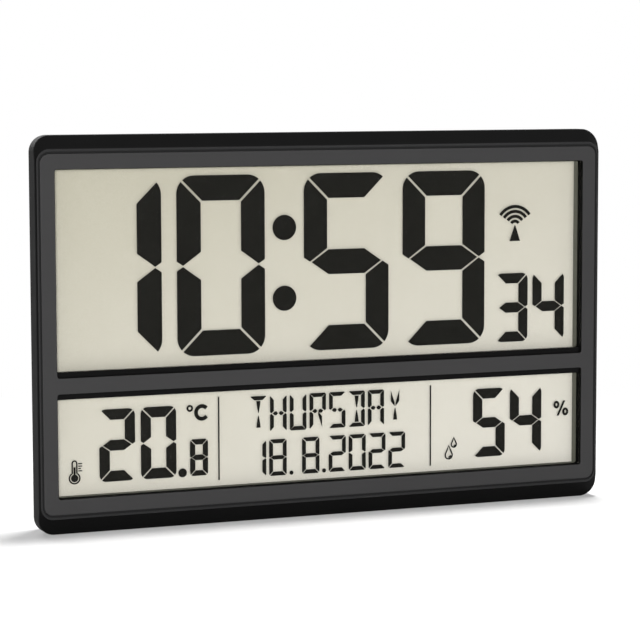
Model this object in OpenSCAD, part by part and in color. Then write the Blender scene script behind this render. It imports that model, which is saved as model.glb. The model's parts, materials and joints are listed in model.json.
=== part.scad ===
// Digital wall clock with a large time display and a climate and date display.
// Millimetres, +Z up. The face looks along -Y and the wall plane is y = 0.
// Depths count from the face towards the wall. The origin lies between the keyholes.

/* [Case] */
// Overall width
case_w = 367; // [360:0.5:380]
// Overall height
case_h = 234; // [228:0.5:244]
// Radius of the outline's corners
corner_r = 10; // [8:0.5:16]
// Thickness of the shell walls
wall = 2.2; // [1.8:0.1:2.6]
// Depth of the widest outline behind the face
rim_d = 1; // [0.9:0.1:4]
// Depth of the joint between front and rear shell
parting_d = 12; // [11:0.1:12.4]
// Inset of the flat back from the outline
back_inset = 8.5; // [7.5:0.1:9]

/* [Front frame] */
// Distance from the face plate to the outline at the sides
side_flank = 3; // [2.8:0.1:6]
// Distance from the face plate to the outline above
top_flank = 10.7; // [10:0.1:14]
// Distance from the face plate to the outline below
bottom_flank = 12.1; // [10:0.1:14]
// Thickness of the face plate
frame_t = 2.2; // [1.6:0.1:2.6]
// Corner radius of the face plate
frame_r = 5.5; // [3:0.5:7]
// Border left and right of the windows
side_border = 8.9; // [7.5:0.1:9.5]
// Border above the upper window
top_border = 9; // [8:0.1:9.4]
// Border below the lower window
bottom_border = 9.1; // [8.8:0.1:12]
// Height of the bar between the windows
crossbar_h = 9.5; // [8.5:0.1:10.5]
// Height of the lower window
lower_h = 62; // [60:0.1:63]
// Corner radius of the windows
window_r = 1.4; // [1:0.1:2]
// Bevel on the plate's edges
edge_bevel = 0.4; // [0.2:0.05:0.6]
// Gap between plate and lip
groove_w = 0.5; // [0.3:0.05:0.6]
// Width of the raised lip beside the plate
lip_w = 1.6; // [1.2:0.1:1.8]
// Width of the raised lip above and below the plate
lip_h = 2.4; // [1.6:0.1:3]
// How far the black divider stands out beyond the crossbar
divider_extra = 3.4; // [2:0.1:4]
// Thickness of the shell's front behind the plate
front_w = 2.2; // [1.8:0.1:2.4]
// How far the lip's outer edge lies behind the face
lip_drop = 0.8; // [0.5:0.1:1.2]

/* [Displays] */
// Depth of the display glass behind the face
lcd_d = 7.1; // [6.8:0.1:7.2]
// Thickness of each display glass
glass_t = 1; // [0.7:0.05:1.1]
// Thickness of the layer that holds the segments
cell_t = 0.15; // [0.1:0.01:0.3]
// Thickness of the reflector film
film_t = 0.3; // [0.2:0.05:0.4]
// Dark border at the sides of the viewing area
side_seal = 2; // [1.5:0.1:3]
// Dark border above and below the viewing area
edge_seal = 0.7; // [0.4:0.1:1.2]
// How far the display glass reaches behind the frame
glass_lap = 3; // [2:0.1:3.4]
// How much further it reaches at the sides
side_lap = 4.4; // [3:0.1:4.8]
// Contact ledge of the front glass at the middle
ledge = 6.2; // [6:0.1:7]
// Gap between the two displays
display_gap = 1.3; // [1:0.1:1.6]
// Thickness of the plate that holds the displays
carrier_t = 2; // [1.6:0.1:2.4]

/* [Readings] */
// Hour
hour = 10; // [0:1:23]
// Minute
minute = 59; // [0:1:59]
// Second
second = 34; // [0:1:59]
// Day of the month
day = 18; // [1:1:31]
// Month
month = 8; // [1:1:12]
// Year
year = 2022; // [2000:1:2099]
// Temperature in tenths of a degree
temperature = 208; // [100:1:399]
// Relative humidity in percent
humidity = 54; // [20:1:95]

/* [Digits] */
// Stroke of the time digits
digit_t = 15.2; // [12:0.1:16]
// Corner radius of the time digits
digit_r = 11; // [6:0.1:13]
// Space left of the hours
time_left = 9; // [6:0.1:12]
// Space right of the seconds
time_right = 6.5; // [4:0.1:10]
// Space under the time digits
time_bottom = 5.4; // [2:0.1:7]
// Space above the time digits
time_top = 4.5; // [2:0.1:6]
// Space between two time digits
digit_gap = 9.5; // [6:0.1:12]
// Space between hours and minutes
colon_gap = 25.3; // [20:0.1:28]
// Space on each side of the colon's dots
colon_clear = 5; // [3:0.1:7]
// Space between minutes and seconds
second_gap = 8; // [5:0.1:10]
// Space under the seconds
second_bottom = 5.1; // [3:0.1:7]
// Width of the middle digits
mid_w = 22.2; // [20:0.1:23]
// Height of the middle digits
mid_h = 43.3; // [40:0.1:45]
// Stroke of the middle digits
mid_t = 6.4; // [5:0.1:6.6]
// Space between two middle digits
mid_gap = 3.5; // [2:0.1:5]
// Space under the middle digits of the lower display
mid_bottom = 6.8; // [4:0.1:8]
// Width of the small digits
small_w = 11.4; // [10:0.1:11.6]
// Height of the small digits
small_h = 22.4; // [20:0.1:23]
// Stroke of the small digits
small_t = 2.5; // [1.8:0.1:2.6]
// Space between two small digits
small_gap = 1.9; // [1.2:0.1:3]
// Height of the tenths digit
tenth_h = 22.2; // [20:0.1:23]
// Stroke of the tenths digit
tenth_t = 3.3; // [2:0.1:3.4]
// Space before the month
month_gap = 10.1; // [9:0.1:12]
// Space before the year
year_gap = 6.1; // [4:0.1:8]
// Space under the date
date_bottom = 3.7; // [2:0.1:6]
// Radius of the temperature's decimal point
point_r = 2.7; // [1.8:0.1:2.8]
// Radius of the date's dots
dot_r = 1.3; // [0.9:0.1:1.6]
// Width of the lines between the fields
line_w = 0.9; // [0.6:0.1:1.4]

/* [Back] */
// Distance between the keyholes
hang_spacing = 150; // [110:1:150]
// Height of the keyholes above the centre
hang_z = 70; // [60:1:72]
// Radius of the keyholes' entry
key_r = 4.5; // [4:0.1:5]
// Radius of the keyholes' slot
slot_r = 2.3; // [2:0.1:2.6]
// Rise of the keyholes' slot
slot_rise = 9; // [8:0.5:10]
// Radius of a setting button
button_r = 4; // [3.5:0.1:4.2]
// Distance between the buttons
button_pitch = 20; // [16:1:22]
// Travel of a button
button_travel = 1; // [0.6:0.1:1]
// Width of a stand leg
leg_w = 24; // [20:1:26]
// Length of a stand leg from its pin
leg_l = 40; // [34:1:40]
// Thickness of a stand leg
leg_t = 3.6; // [3:0.1:3.6]
// Distance of each leg's middle from the side
leg_side = 63.5; // [60:0.5:70]
// Height of the legs' pins above the bottom
leg_bottom = 16; // [15:0.1:18]
// Radius of the legs' pins
pin_r = 1.2; // [1:0.05:1.3]
// Height of the button row above the board's middle
button_up = 25; // [20:0.5:28]
// Number of vent slots over the sensor
vent_count = 6; // [4:1:7]
// Height of a vent slot
vent_h = 1.8; // [1.4:0.1:2]
// Distance between the vent slots
vent_pitch = 4; // [3:0.1:4.4]
// Distance of the vents' middle from the side
vent_side = 33.5; // [31:0.5:40]
// Height of the vents' middle above the bottom
vent_bottom = 46; // [40:0.5:60]
// Distance of the outer case screws from the side
screw_side = 25.5; // [24:0.5:30]
// Distance between the inner case screws
screw_inner = 112; // [96:1:124]
// Depth of the screws' wells
well_depth = 5.5; // [4:0.1:6]

/* [Inside] */
// Radius of a battery cell
cell_r = 7.25; // [7:0.05:7.25]
// Length of a battery cell with its nub
cell_l = 50.5; // [50:0.1:50.5]
// Space between the two cells
cell_gap = 1.1; // [0.8:0.1:2]
// Space around the cells in their box
cell_clear = 1.35; // [1:0.05:2]
// Wall of the battery box
box_wall = 1.2; // [1:0.1:1.6]
// Height of the battery box above the bottom
box_bottom = 16.6; // [16:0.1:20]
// Thickness of the battery door
door_t = 1.6; // [1.4:0.1:1.8]
// Space between displays and battery box
back_room = 0.75; // [0.5:0.05:6]
// Width of the main board
board_w = 210; // [204:1:220]
// Height of the main board
board_h = 78; // [76:1:80]
// Thickness of the main board
board_t = 1.6; // [1.2:0.2:1.6]
// Radius of the ferrite rod
rod_r = 4.5; // [4:0.1:5]
// Length of the ferrite rod
rod_l = 96; // [90:1:100]
// Distance of the ferrite rod from the top
rod_top = 27; // [25:0.5:32]
// Distance of the rod's axis from the back wall
rod_back = 7.3; // [7:0.1:8]
// Length of the coil on the rod
coil_l = 30; // [24:1:40]
// Thickness of the coil's winding
coil_t = 2.4; // [1.6:0.1:2.6]
// Distance of the receiver board from the middle
receiver_x = 98; // [90:1:104]
// Width and height of the receiver board
receiver_size = [26, 14];
// Distance of the receiver board from the top
receiver_top = 25; // [22:0.5:28]
// Width and height of the sensor board
sensor_size = [30, 16];
// Distance between the posts of the display carrier
post_spacing = 214; // [208:1:222]

/* [Hidden] */
$fn = 48;
eps = 0.02;

// Face layout
frame_w = case_w - 2 * side_flank;
frame_h = case_h - top_flank - bottom_flank;
face_up = (bottom_flank - top_flank) / 2;
upper_h = frame_h - top_border - crossbar_h - lower_h - bottom_border;
win_w = frame_w - 2 * side_border;
up_t = face_up + frame_h / 2 - top_border;
up_b = up_t - upper_h;
lo_t = up_b - crossbar_h;
lo_b = lo_t - lower_h;
shell_d = frame_t + front_w;
lip_out = [groove_w + lip_w, groove_w + lip_h];
// Display stack
seg_d = lcd_d + glass_t;
rear_d = seg_d + cell_t;
film_d = rear_d + glass_t;
carrier_d = film_d + film_t;
glass_w = win_w + 2 * side_lap;
view_w = win_w - 2 * side_seal;
mid_z = (up_b + lo_t) / 2;
time_z = [mid_z + display_gap / 2, up_t + glass_lap];
time_view = [up_b + divider_extra - 0.4, up_t - edge_seal];
climate_z = [lo_b - glass_lap, mid_z - display_gap / 2];
climate_view = [lo_b + edge_seal, lo_t - divider_extra + 0.4];
// Depth of the whole case: displays, cells behind them and door
box_d = carrier_d + back_room;
cell_d = box_d + box_wall + 0.2 + cell_r;
case_t = cell_d + cell_r + 0.2 + door_t;
inner_d = case_t - wall;
back_edge = 3;
step_in = 1;
// Places of the time digits
pair_w = 2 * mid_w + mid_gap;
digit_w = (view_w - time_left - time_right - 2 * digit_gap - colon_gap - second_gap - pair_w) / 4;
digit_z = time_view[0] + time_bottom;
digit_h = time_view[1] - time_top - digit_z;
digit_x = [for (i = [0 : 3])
  time_left - view_w / 2 + i * (digit_w + digit_gap) + (i > 1 ? colon_gap - digit_gap : 0)];
colon_x = digit_x[2] - colon_gap / 2;
colon_z = [for (k = [0.303, 0.7]) digit_z + k * digit_h];
second_x = digit_x[3] + digit_w + second_gap;
second_z = time_view[0] + second_bottom;
// Places in the lower display: the digits keep their size, and the spaces share what is left
mid_z0 = climate_view[0] + mid_bottom;
date_z = climate_view[0] + date_bottom;
date_w = 7 * small_w + 4 * small_gap + month_gap + year_gap;
slack = view_w - 2 * pair_w - small_w - date_w;
temp_x = 0.1964 * slack - view_w / 2;
tenth_x = temp_x + pair_w + 0.067 * slack;
point_x = tenth_x - 0.037 * slack;
line_a = tenth_x + small_w + 0.0544 * slack;
date_x = line_a + 0.1483 * slack;
month_x = date_x + 2 * small_w + small_gap + month_gap;
year_x = month_x + small_w + year_gap;
line_b = date_x + date_w + 0.1341 * slack;
wet_x = line_b + 0.2287 * slack;
// Inside
board_d = carrier_d + carrier_t + 0.75;
board_z = mid_z + 10.25;
hole_x = [7 - board_w / 2, board_w / 2 - 7];
hole_z = [board_z + 6 - board_h / 2, board_z - 6 + board_h / 2];
parts_d = board_d + board_t;
strip_l = board_w - 10;
strip_z = [1.5, 5.9];
screw_z = [frame_h / 2 - 1, 2 - frame_h / 2];
screw_x = [screw_side - case_w / 2, -screw_inner / 2, screw_inner / 2, case_w / 2 - screw_side];
post_x = [-post_spacing / 2, post_spacing / 2];
boss_d = parting_d + 1.6;
pilot_d = shell_d + 1.6;
boss_r = 3.5;
shank_r = 1.5;
ear_r = 4.5;
well_d = case_t - well_depth;
rod_z = case_h / 2 - rod_top;
rod_d = inner_d - rod_back;
receiver_z = case_h / 2 - receiver_top;
receiver_d = inner_d - 5.8;
receiver_t = 1.2;
vent_x = case_w / 2 - vent_side;
vent_z = vent_bottom - case_h / 2;
sensor_t = 1;
sensor_d = inner_d - 2.2 - sensor_t;
// Battery box
box_x = cell_l / 2 + 2.9;
contact_x = box_x - 0.4;
box_z = [box_bottom - case_h / 2,
  box_bottom - case_h / 2 + 4 * cell_r + cell_gap + 2 * cell_clear];
cell_z = [box_z[1] - cell_clear - cell_r, box_z[0] + cell_clear + cell_r];
door_x = box_x + 2.6;
door_d = case_t - door_t;
door_z = [back_inset - case_h / 2 + 0.1, box_z[1] + 3];
// Spring wire: points of the centre line, then the skin around it
wire_r = 0.35;
spring_l = 2 * contact_x - cell_l;
spring_n = 42;
spring_turns = 3.5;
spring_mid = [for (i = [0 : spring_n]) let (u = i / spring_n, a = 360 * spring_turns * u, r = 5.2 - 2.6 * u)
  [wire_r + u * (spring_l - 2 * wire_r), r * cos(a), r * sin(a)]];
spring_points = [for (i = [0 : spring_n], k = [0 : 5]) let (a = 360 * spring_turns * i / spring_n)
  spring_mid[i] + wire_r * [sin(60 * k + 30), cos(60 * k + 30) * cos(a), cos(60 * k + 30) * sin(a)]];
spring_faces = concat([[5, 4, 3, 2, 1, 0]],
  [for (i = [0 : spring_n - 1], k = [0 : 5])
    [6 * i + k, 6 * i + (k + 1) % 6, 6 * (i + 1) + (k + 1) % 6, 6 * (i + 1) + k]],
  [[for (k = [0 : 5]) 6 * spring_n + k]]);
spring_gap = min([for (i = [0 : spring_n], j = [0 : spring_n]) if (j - i > 6)
  norm(spring_mid[j] - spring_mid[i])]) - 2 * wire_r;
echo(least_spring_gap = spring_gap);
// Legs and buttons
leg_d = case_t - 0.6 - leg_t / 2;
leg_x = case_w / 2 - leg_side;
leg_z = leg_bottom - case_h / 2;
pin_x = leg_w / 2 + 2.4;
button_z = board_z + button_up;
button_x = [for (i = [-2 : 2]) i * button_pitch];
switch_h = 3.5;
guide_d = inner_d - 2.8;
key_d = inner_d - 7.3;
key_pocket = [2 * key_r + 5.6, slot_rise + 2 * key_r + 6.6];
key_pocket_z = hang_z + slot_rise / 2 - 0.5;

// Colours
c_frame = [0.27, 0.27, 0.27];
c_gloss = [0.05, 0.05, 0.05];
c_back = [0.08, 0.08, 0.085];
c_glass = [0.85, 0.9, 0.88, 0.25];
c_film = [0.83, 0.82, 0.76];
c_ink = [0.12, 0.12, 0.1];
c_steel = [0.72, 0.72, 0.74];
c_board = [0.1, 0.33, 0.17];

// Front-view drawings pushed from one depth to another
module slab(d0, d1) translate([0, d1 - case_t, -hang_z]) rotate([90, 0, 0])
  linear_extrude(d1 - d0) children();
// Skin between a first outline at d0 and a second one at d1
module loft(d0, d1) hull() {
  slab(d0, d0 + eps) children(0);
  slab(d1 - eps, d1) children(1);
}
module rrect(w, h, r) {
  square([w - 2 * r, h], center = true);
  square([w, h - 2 * r], center = true);
  for (x = [-1, 1], z = [-1, 1]) translate([x * (w / 2 - r), z * (h / 2 - r)]) circle(r);
}
// Outline of the face plate, grown by a margin beside it and one above and below it
module face(grow = [0, 0], r = 0) translate([0, face_up])
  rrect(frame_w + 2 * grow[0], frame_h + 2 * grow[1], frame_r + r);
module rect(w, z) translate([-w / 2, z[0]]) square([w, z[1] - z[0]]);
module outline(inset) rrect(case_w - 2 * inset, case_h - 2 * inset, corner_r - inset * 0.6);
module window(z0, z1, grow = 0)
  translate([0, (z0 + z1) / 2]) rrect(win_w + 2 * grow, z1 - z0 + 2 * grow, window_r + grow);
module upper(grow = 0) window(up_b, up_t, grow);
module lower(grow = 0) window(lo_b, lo_t, grow);
module upper_opening(grow) window(up_b + divider_extra + 0.3, up_t, grow);
module lower_opening(grow) window(lo_b, lo_t - divider_extra - 0.3, grow);
module spots(xs, zs) for (x = xs, z = zs) translate([x, z]) children();
// Round bar along X at depth d and height z
module bar_x(r, x0, x1, d, z) translate([x0, d - case_t, z - hang_z]) rotate([0, 90, 0])
  cylinder(r = r, h = x1 - x0);

// Seven-segment digits: which bars are dark for each figure
BARS = ["abcdef", "bc", "abged", "abgcd", "fgbc", "afgcd", "afgecd", "abc", "abcdefg", "abcdfg"];
function flip_x(pts, w) = [for (p = pts) [w - p[0], p[1]]];
function flip_z(pts, h) = [for (p = pts) [p[0], h - p[1]]];
function top_bar(w, h, t, g) = let (q = 0.7 * g)
  [[q, h], [w - q, h], [w - t - q, h - t], [t + q, h - t]];
function left_bar(w, h, t, g) = let (q = 0.7 * g, p = 0.26 * t, e = 0.25 * g)
  [[0, h - q], [t, h - t - q], [t, h / 2 + 0.55 * t], [p, h / 2 + e], [0, h / 2 + 0.65 * p + e]];
function mid_bar(w, h, t, g) = let (n = 0.5 * t, x = t + 0.65 * g, y = 0.26 * t + 0.75 * g)
  [[y, h / 2], [x, h / 2 + n], [w - x, h / 2 + n], [w - y, h / 2], [w - x, h / 2 - n], [x, h / 2 - n]];
function bar(s, w, h, t, g) =
  s == "a" ? top_bar(w, h, t, g) :
  s == "d" ? flip_z(top_bar(w, h, t, g), h) :
  s == "f" ? left_bar(w, h, t, g) :
  s == "b" ? flip_x(left_bar(w, h, t, g), w) :
  s == "e" ? flip_z(left_bar(w, h, t, g), h) :
  s == "c" ? flip_x(flip_z(left_bar(w, h, t, g), h), w) : mid_bar(w, h, t, g);
module digit(n, x, z, w, h, t, g, r) translate([x, z]) intersection() {
  translate([w / 2, h / 2]) rrect(w, h, r);
  for (i = [0 : len(BARS[n]) - 1]) polygon(bar(BARS[n][i], w, h, t, g));
}
module big(n, x) digit(n, x, digit_z, digit_w, digit_h, digit_t, 1.4, digit_r);
module mid(n, x, z) digit(n, x, z, mid_w, mid_h, mid_t, 0.8, 0.65 * mid_t);
module small(n, x, z) digit(n, x, z, small_w, small_h, small_t, 0.45, 0.65 * small_t);
module pair(n, x, z) {
  mid(tens(n), x, z);
  mid(ones(n), x + mid_w + mid_gap, z);
}
function ones(n) = n % 10;
function tens(n) = floor(n / 10) % 10;

// Face plate with bevelled edges and two windows
module front_frame() color(c_frame) difference() {
  union() {
    slab(edge_bevel - eps, frame_t) face();
    loft(0, edge_bevel) { face([-edge_bevel, -edge_bevel], -edge_bevel); face(); }
  }
  slab(-1, frame_t + 1) { upper(); lower(); }
  loft(-0.1, edge_bevel) { upper(edge_bevel + 0.1); upper(); }
  loft(-0.1, edge_bevel) { lower(edge_bevel + 0.1); lower(); }
}

// Gloss shell: lip, flanks, side walls, divider and screw bosses
module front_housing() color(c_gloss) difference() {
  union() {
    difference() {
      union() {
        loft(0.2, lip_drop) { face(lip_out - [0.5, 0.5], lip_out[0] - 0.5); face(lip_out, lip_out[0]); }
        loft(lip_drop - eps, rim_d) { face(lip_out, lip_out[0]); outline(0); }
        slab(rim_d - eps, parting_d) outline(0);
      }
      slab(-1, frame_t) face([groove_w, groove_w], groove_w);
      slab(shell_d, parting_d + 1) rrect(case_w - 2 * wall, case_h - 2 * wall, corner_r - wall);
      slab(frame_t - 1, shell_d + 1) { upper_opening(0.3); lower_opening(0.3); }
    }
    slab(shell_d - 1, boss_d - 0.1) spots(screw_x, screw_z) circle(boss_r);
    slab(shell_d - 1, carrier_d) spots(post_x, screw_z) circle(3);
  }
  slab(pilot_d, boss_d + 1) spots(screw_x, screw_z) circle(shank_r);
  slab(pilot_d, boss_d + 1) spots(post_x, screw_z) circle(1.1);
}

// Spacer frames between shell and display glass
module time_gasket() color(c_gloss) slab(shell_d, lcd_d) difference() {
  rect(glass_w - 0.4, [time_z[0] + 0.2, time_z[1] - 0.2]);
  upper_opening(0.6);
}
module climate_gasket() color(c_gloss) slab(shell_d, lcd_d) difference() {
  rect(glass_w - 0.4, [climate_z[0] + 0.2, climate_z[1] - 0.2]);
  lower_opening(0.6);
}

// Time display, front to back
module time_front_glass() color(c_glass) slab(lcd_d, seg_d) rect(glass_w, time_z);
module time_seal() color([0.2, 0.2, 0.17]) slab(seg_d, rear_d) difference() {
  rect(glass_w, [time_z[0] + ledge, time_z[1]]);
  rect(view_w, time_view);
}
module time_segments() color(c_ink) slab(seg_d, rear_d) {
  if (hour > 9) big(tens(hour), digit_x[0]);
  big(ones(hour), digit_x[1]);
  big(tens(minute), digit_x[2]);
  big(ones(minute), digit_x[3]);
  spots([colon_x], colon_z) circle(colon_gap / 2 - colon_clear);
  pair(second, second_x, second_z);
}
module time_rear_glass() color(c_glass) slab(rear_d, film_d) rect(glass_w, [time_z[0] + ledge, time_z[1]]);
module time_reflector() color(c_film) slab(film_d, carrier_d)
  rect(view_w + 2, [time_view[0] - 0.5, time_view[1] + 1]);

// Climate and date display, front to back
module climate_front_glass() color(c_glass) slab(lcd_d, seg_d) rect(glass_w, climate_z);
module climate_seal() color([0.2, 0.2, 0.17]) slab(seg_d, rear_d) difference() {
  rect(glass_w, [climate_z[0], climate_z[1] - ledge]);
  rect(view_w, climate_view);
}
module climate_segments() color(c_ink) slab(seg_d, rear_d) {
  pair(floor(temperature / 10), temp_x, mid_z0);
  translate([point_x, mid_z0 + point_r - 0.3]) circle(point_r);
  digit(ones(temperature), tenth_x, mid_z0 + 0.1, small_w, tenth_h, tenth_t, 0.45, 0.65 * tenth_t);
  spots([line_a, line_b], [(climate_view[0] + climate_view[1]) / 2 - 0.5])
    square([line_w, climate_view[1] - climate_view[0] - 7.7], center = true);
  if (day > 9) small(tens(day), date_x, date_z);
  small(ones(day), date_x + small_w + small_gap, date_z);
  if (month > 9) small(1, month_x - small_w - small_gap, date_z);
  small(ones(month), month_x, date_z);
  spots([month_x - month_gap + 3.1, year_x - year_gap / 2], [date_z + dot_r - 0.1]) circle(dot_r);
  for (i = [0 : 3]) small(floor(year / pow(10, 3 - i)) % 10, year_x + i * (small_w + small_gap), date_z);
  pair(humidity, wet_x, mid_z0);
}
module climate_rear_glass() color(c_glass)
  slab(rear_d, film_d) rect(glass_w, [climate_z[0], climate_z[1] - ledge]);
module climate_reflector() color(c_film) slab(film_d, carrier_d)
  rect(view_w + 2, [climate_view[0] - 1, climate_view[1] + 0.5]);

// Plate that holds both displays against the gaskets
module lcd_carrier() color([0.75, 0.75, 0.74]) difference() {
  union() {
    slab(carrier_d, carrier_d + carrier_t) {
      rect(glass_w + 1, [climate_z[0], time_z[1]]);
      for (x = post_x) translate([x, 0]) rect(2 * ear_r, [screw_z[1], screw_z[0]]);
      spots(post_x, screw_z) circle(ear_r);
    }
    slab(carrier_d + 1, board_d) spots(hole_x, hole_z) circle(3.5);
  }
  slab(carrier_d - 1, board_d + 1) {
    rect(strip_l + 2, [mid_z - strip_z[1] - 1.1, mid_z + strip_z[1] + 1.1]);
    rect(2 * (box_x + box_wall) + 1.6,
      [min(box_z[0], climate_z[0]) - box_wall - 1, box_z[1] + box_wall + 1]);
    spots(post_x, screw_z) circle(1.5);
    spots(hole_x, hole_z) circle(1.05);
  }
}
module carrier_screws() color(c_steel) {
  slab(carrier_d + carrier_t, carrier_d + carrier_t + 1.8) spots(post_x, screw_z) circle(2.6);
  slab(pilot_d + 0.5, carrier_d + carrier_t + 0.1) spots(post_x, screw_z) circle(1.1);
}

// Elastomer strips from display glass to board
module time_connector() color([0.3, 0.3, 0.32])
  slab(seg_d, board_d) rect(strip_l, [mid_z + strip_z[0], mid_z + strip_z[1]]);
module climate_connector() color([0.3, 0.3, 0.32])
  slab(seg_d, board_d) rect(strip_l, [mid_z - strip_z[1], mid_z - strip_z[0]]);

// Main board and what stands on it
module main_board() color(c_board) slab(board_d, parts_d) difference() {
  translate([0, board_z]) rrect(board_w, board_h, 2);
  spots(hole_x, hole_z) circle(1.2);
}
module clock_chip() color([0.05, 0.05, 0.05]) translate([0, parts_d - case_t, -hang_z]) rotate([-90, 0, 0])
  translate([24, 9 - board_z, 0]) { cylinder(r = 9, h = 1.1); cylinder(r1 = 8, r2 = 5, h = 1.9); }
module quartz_crystal() color(c_steel) slab(parts_d, parts_d + 6) translate([44, board_z - 7]) circle(1.5);
module capacitors() color([0.12, 0.14, 0.2]) slab(parts_d, parts_d + 7)
  spots([64, 74], [board_z - 15]) circle(2.5);
module button_switches() color([0.2, 0.2, 0.2])
  slab(parts_d, parts_d + switch_h) spots(button_x, [button_z]) square(6, center = true);
module board_screws() color(c_steel) {
  slab(parts_d, parts_d + 1.6) spots(hole_x, hole_z) circle(2.4);
  slab(carrier_d + 0.6, parts_d + 0.1) spots(hole_x, hole_z) circle(1.05);
}

// Reception and sensing
module antenna_rod() color([0.16, 0.16, 0.17]) bar_x(rod_r, -rod_l / 2, rod_l / 2, rod_d, rod_z);
module antenna_coil() color([0.72, 0.4, 0.2]) difference() {
  bar_x(rod_r + coil_t, -coil_l / 2, coil_l / 2, rod_d, rod_z);
  bar_x(rod_r, -coil_l / 2 - 1, coil_l / 2 + 1, rod_d, rod_z);
}
module receiver_board() color(c_board) slab(receiver_d, receiver_d + receiver_t)
  rect_at(receiver_x, receiver_z, receiver_size[0], receiver_size[1]);
module sensor_board() color(c_board) slab(sensor_d, sensor_d + sensor_t)
  rect_at(vent_x, vent_z, sensor_size[0], sensor_size[1]);
module sensor_chip() color([0.9, 0.9, 0.88]) slab(sensor_d + sensor_t, sensor_d + sensor_t + 1.2)
  rect_at(vent_x, vent_z, 4, 4);
module rect_at(x, z, w, h) translate([x, z]) square([w, h], center = true);

// Rear shell with keyholes, wells, battery box, leg pockets and vents
module rear_cover() color(c_back) difference() {
  union() {
    difference() {
      union() {
        loft(parting_d, case_t - back_edge) { outline(step_in); outline(back_inset - back_edge); }
        loft(case_t - back_edge - eps, case_t) { outline(back_inset - back_edge); outline(back_inset); }
      }
      loft(parting_d - eps, inner_d) { outline(step_in + wall); outline(back_inset - 0.2); }
    }
    slab(boss_d, inner_d + 1) spots(screw_x, screw_z) circle(boss_r + 0.9);
    slab(box_d, inner_d + 1) rect(2 * box_x + 2 * box_wall, [box_z[0] - box_wall, box_z[1] + box_wall]);
    slab(inner_d - box_wall, inner_d + 1) rect(2 * door_x + 8, [box_z[0] - 8.8, door_z[1] + 2.5]);
    for (s = [-1, 1]) {
      slab(leg_d - leg_t / 2 - 2.1, inner_d + 1)
        rect_at(s * leg_x, leg_z + leg_l / 2 - 0.4, leg_w + 5.4, leg_l + 8.4);
      slab(case_t - 4.5, inner_d + 1) translate([s * leg_x, leg_z + leg_l + 2.8]) circle(7.5);
      slab(key_d - 1.2, inner_d + 1) translate([s * hang_spacing / 2, key_pocket_z])
        rrect(key_pocket[0] + 2.4, key_pocket[1] + 2.4, 3);
      slab(rod_d, inner_d + 1) rect_at(s * (rod_l / 2 - 8), rod_z, 4, 2 * rod_r + 6);
    }
    slab(receiver_d + receiver_t, inner_d + 1)
      spots([receiver_x - 8, receiver_x + 8], [receiver_z]) circle(2);
    slab(sensor_d + sensor_t, inner_d + 1)
      for (s = [-1, 1]) translate([vent_x + s * (sensor_size[0] / 2 - 2.6), vent_z]) circle(1.8);
    slab(guide_d, inner_d + 1) spots(button_x, [button_z]) circle(button_r + 2.8);
  }
  // Screw wells
  slab(boss_d - 1, case_t + 1) spots(screw_x, screw_z) circle(shank_r + 0.2);
  slab(well_d, case_t + 1) spots(screw_x, screw_z) circle(3.2);
  // Battery box with saddles, and the door's seat and rails
  difference() {
    slab(cell_d - cell_r - 0.2, case_t + 1) rect(2 * box_x, box_z);
    for (x = [-14, 12]) difference() {
      translate([x, cell_d - cell_r - 0.3 - case_t, box_z[0] - hang_z]) cube([2, 4, box_z[1] - box_z[0]]);
      for (z = cell_z) bar_x(cell_r, x - 1, x + 3, cell_d, z);
    }
  }
  slab(door_d - 0.15, case_t + 1) rect(2 * door_x + 0.6, [-case_h / 2, door_z[1] + 0.3]);
  slab(door_d - 0.15, door_d + 0.75) rect(2 * door_x + 3, [-case_h / 2, door_z[1] + 0.3]);
  // Leg pockets, finger scoops and pin holes
  for (s = [-1, 1]) {
    slab(leg_d - leg_t / 2 - 0.6, case_t + 1)
      rect_at(s * leg_x, leg_z + leg_l / 2 - 0.4, leg_w + 2.4, leg_l + 4.8);
    slab(case_t - 3, case_t + 1) translate([s * leg_x, leg_z + leg_l + 2.8]) circle(6);
    bar_x(pin_r, s * leg_x - pin_x, s * leg_x + pin_x, leg_d, leg_z);
  }
  // Keyholes with a closed pocket behind each
  for (s = [-1, 1]) translate([s * hang_spacing / 2, 0, 0]) {
    slab(key_d, inner_d) translate([0, key_pocket_z]) rrect(key_pocket[0], key_pocket[1], 2);
    slab(inner_d - 1, case_t + 1) {
      translate([0, hang_z]) circle(key_r);
      translate([0, hang_z + slot_rise / 2]) square([2 * slot_r, slot_rise], center = true);
      translate([0, hang_z + slot_rise]) circle(slot_r);
    }
  }
  // Rod saddles
  bar_x(rod_r, -rod_l / 2 - 1, rod_l / 2 + 1, rod_d, rod_z);
  // Button field, holes and guides
  slab(case_t - 0.6, case_t + 1) translate([0, button_z]) rrect(4 * button_pitch + 18, 18, 8);
  slab(guide_d - 1, inner_d) spots(button_x, [button_z]) circle(button_r + 1.8);
  slab(guide_d - 1, case_t + 1) spots(button_x, [button_z]) circle(button_r + 0.3);
  // Vents over the sensor
  slab(inner_d - 1, case_t + 1)
    for (i = [0 : vent_count - 1])
      rect_at(vent_x, vent_z + (i - (vent_count - 1) / 2) * vent_pitch, 20, vent_h);
}
module case_screws() color(c_steel) {
  slab(well_d, well_d + 1.2) spots(screw_x, screw_z) circle(2.8);
  slab(well_d + 1.2 - eps, well_d + 2.2) spots(screw_x, screw_z) difference() {
    circle(2.8);
    square([3.6, 0.8], center = true);
    square([0.8, 3.6], center = true);
  }
  slab(pilot_d + 1, well_d + 0.1) spots(screw_x, screw_z) circle(shank_r);
}

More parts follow.
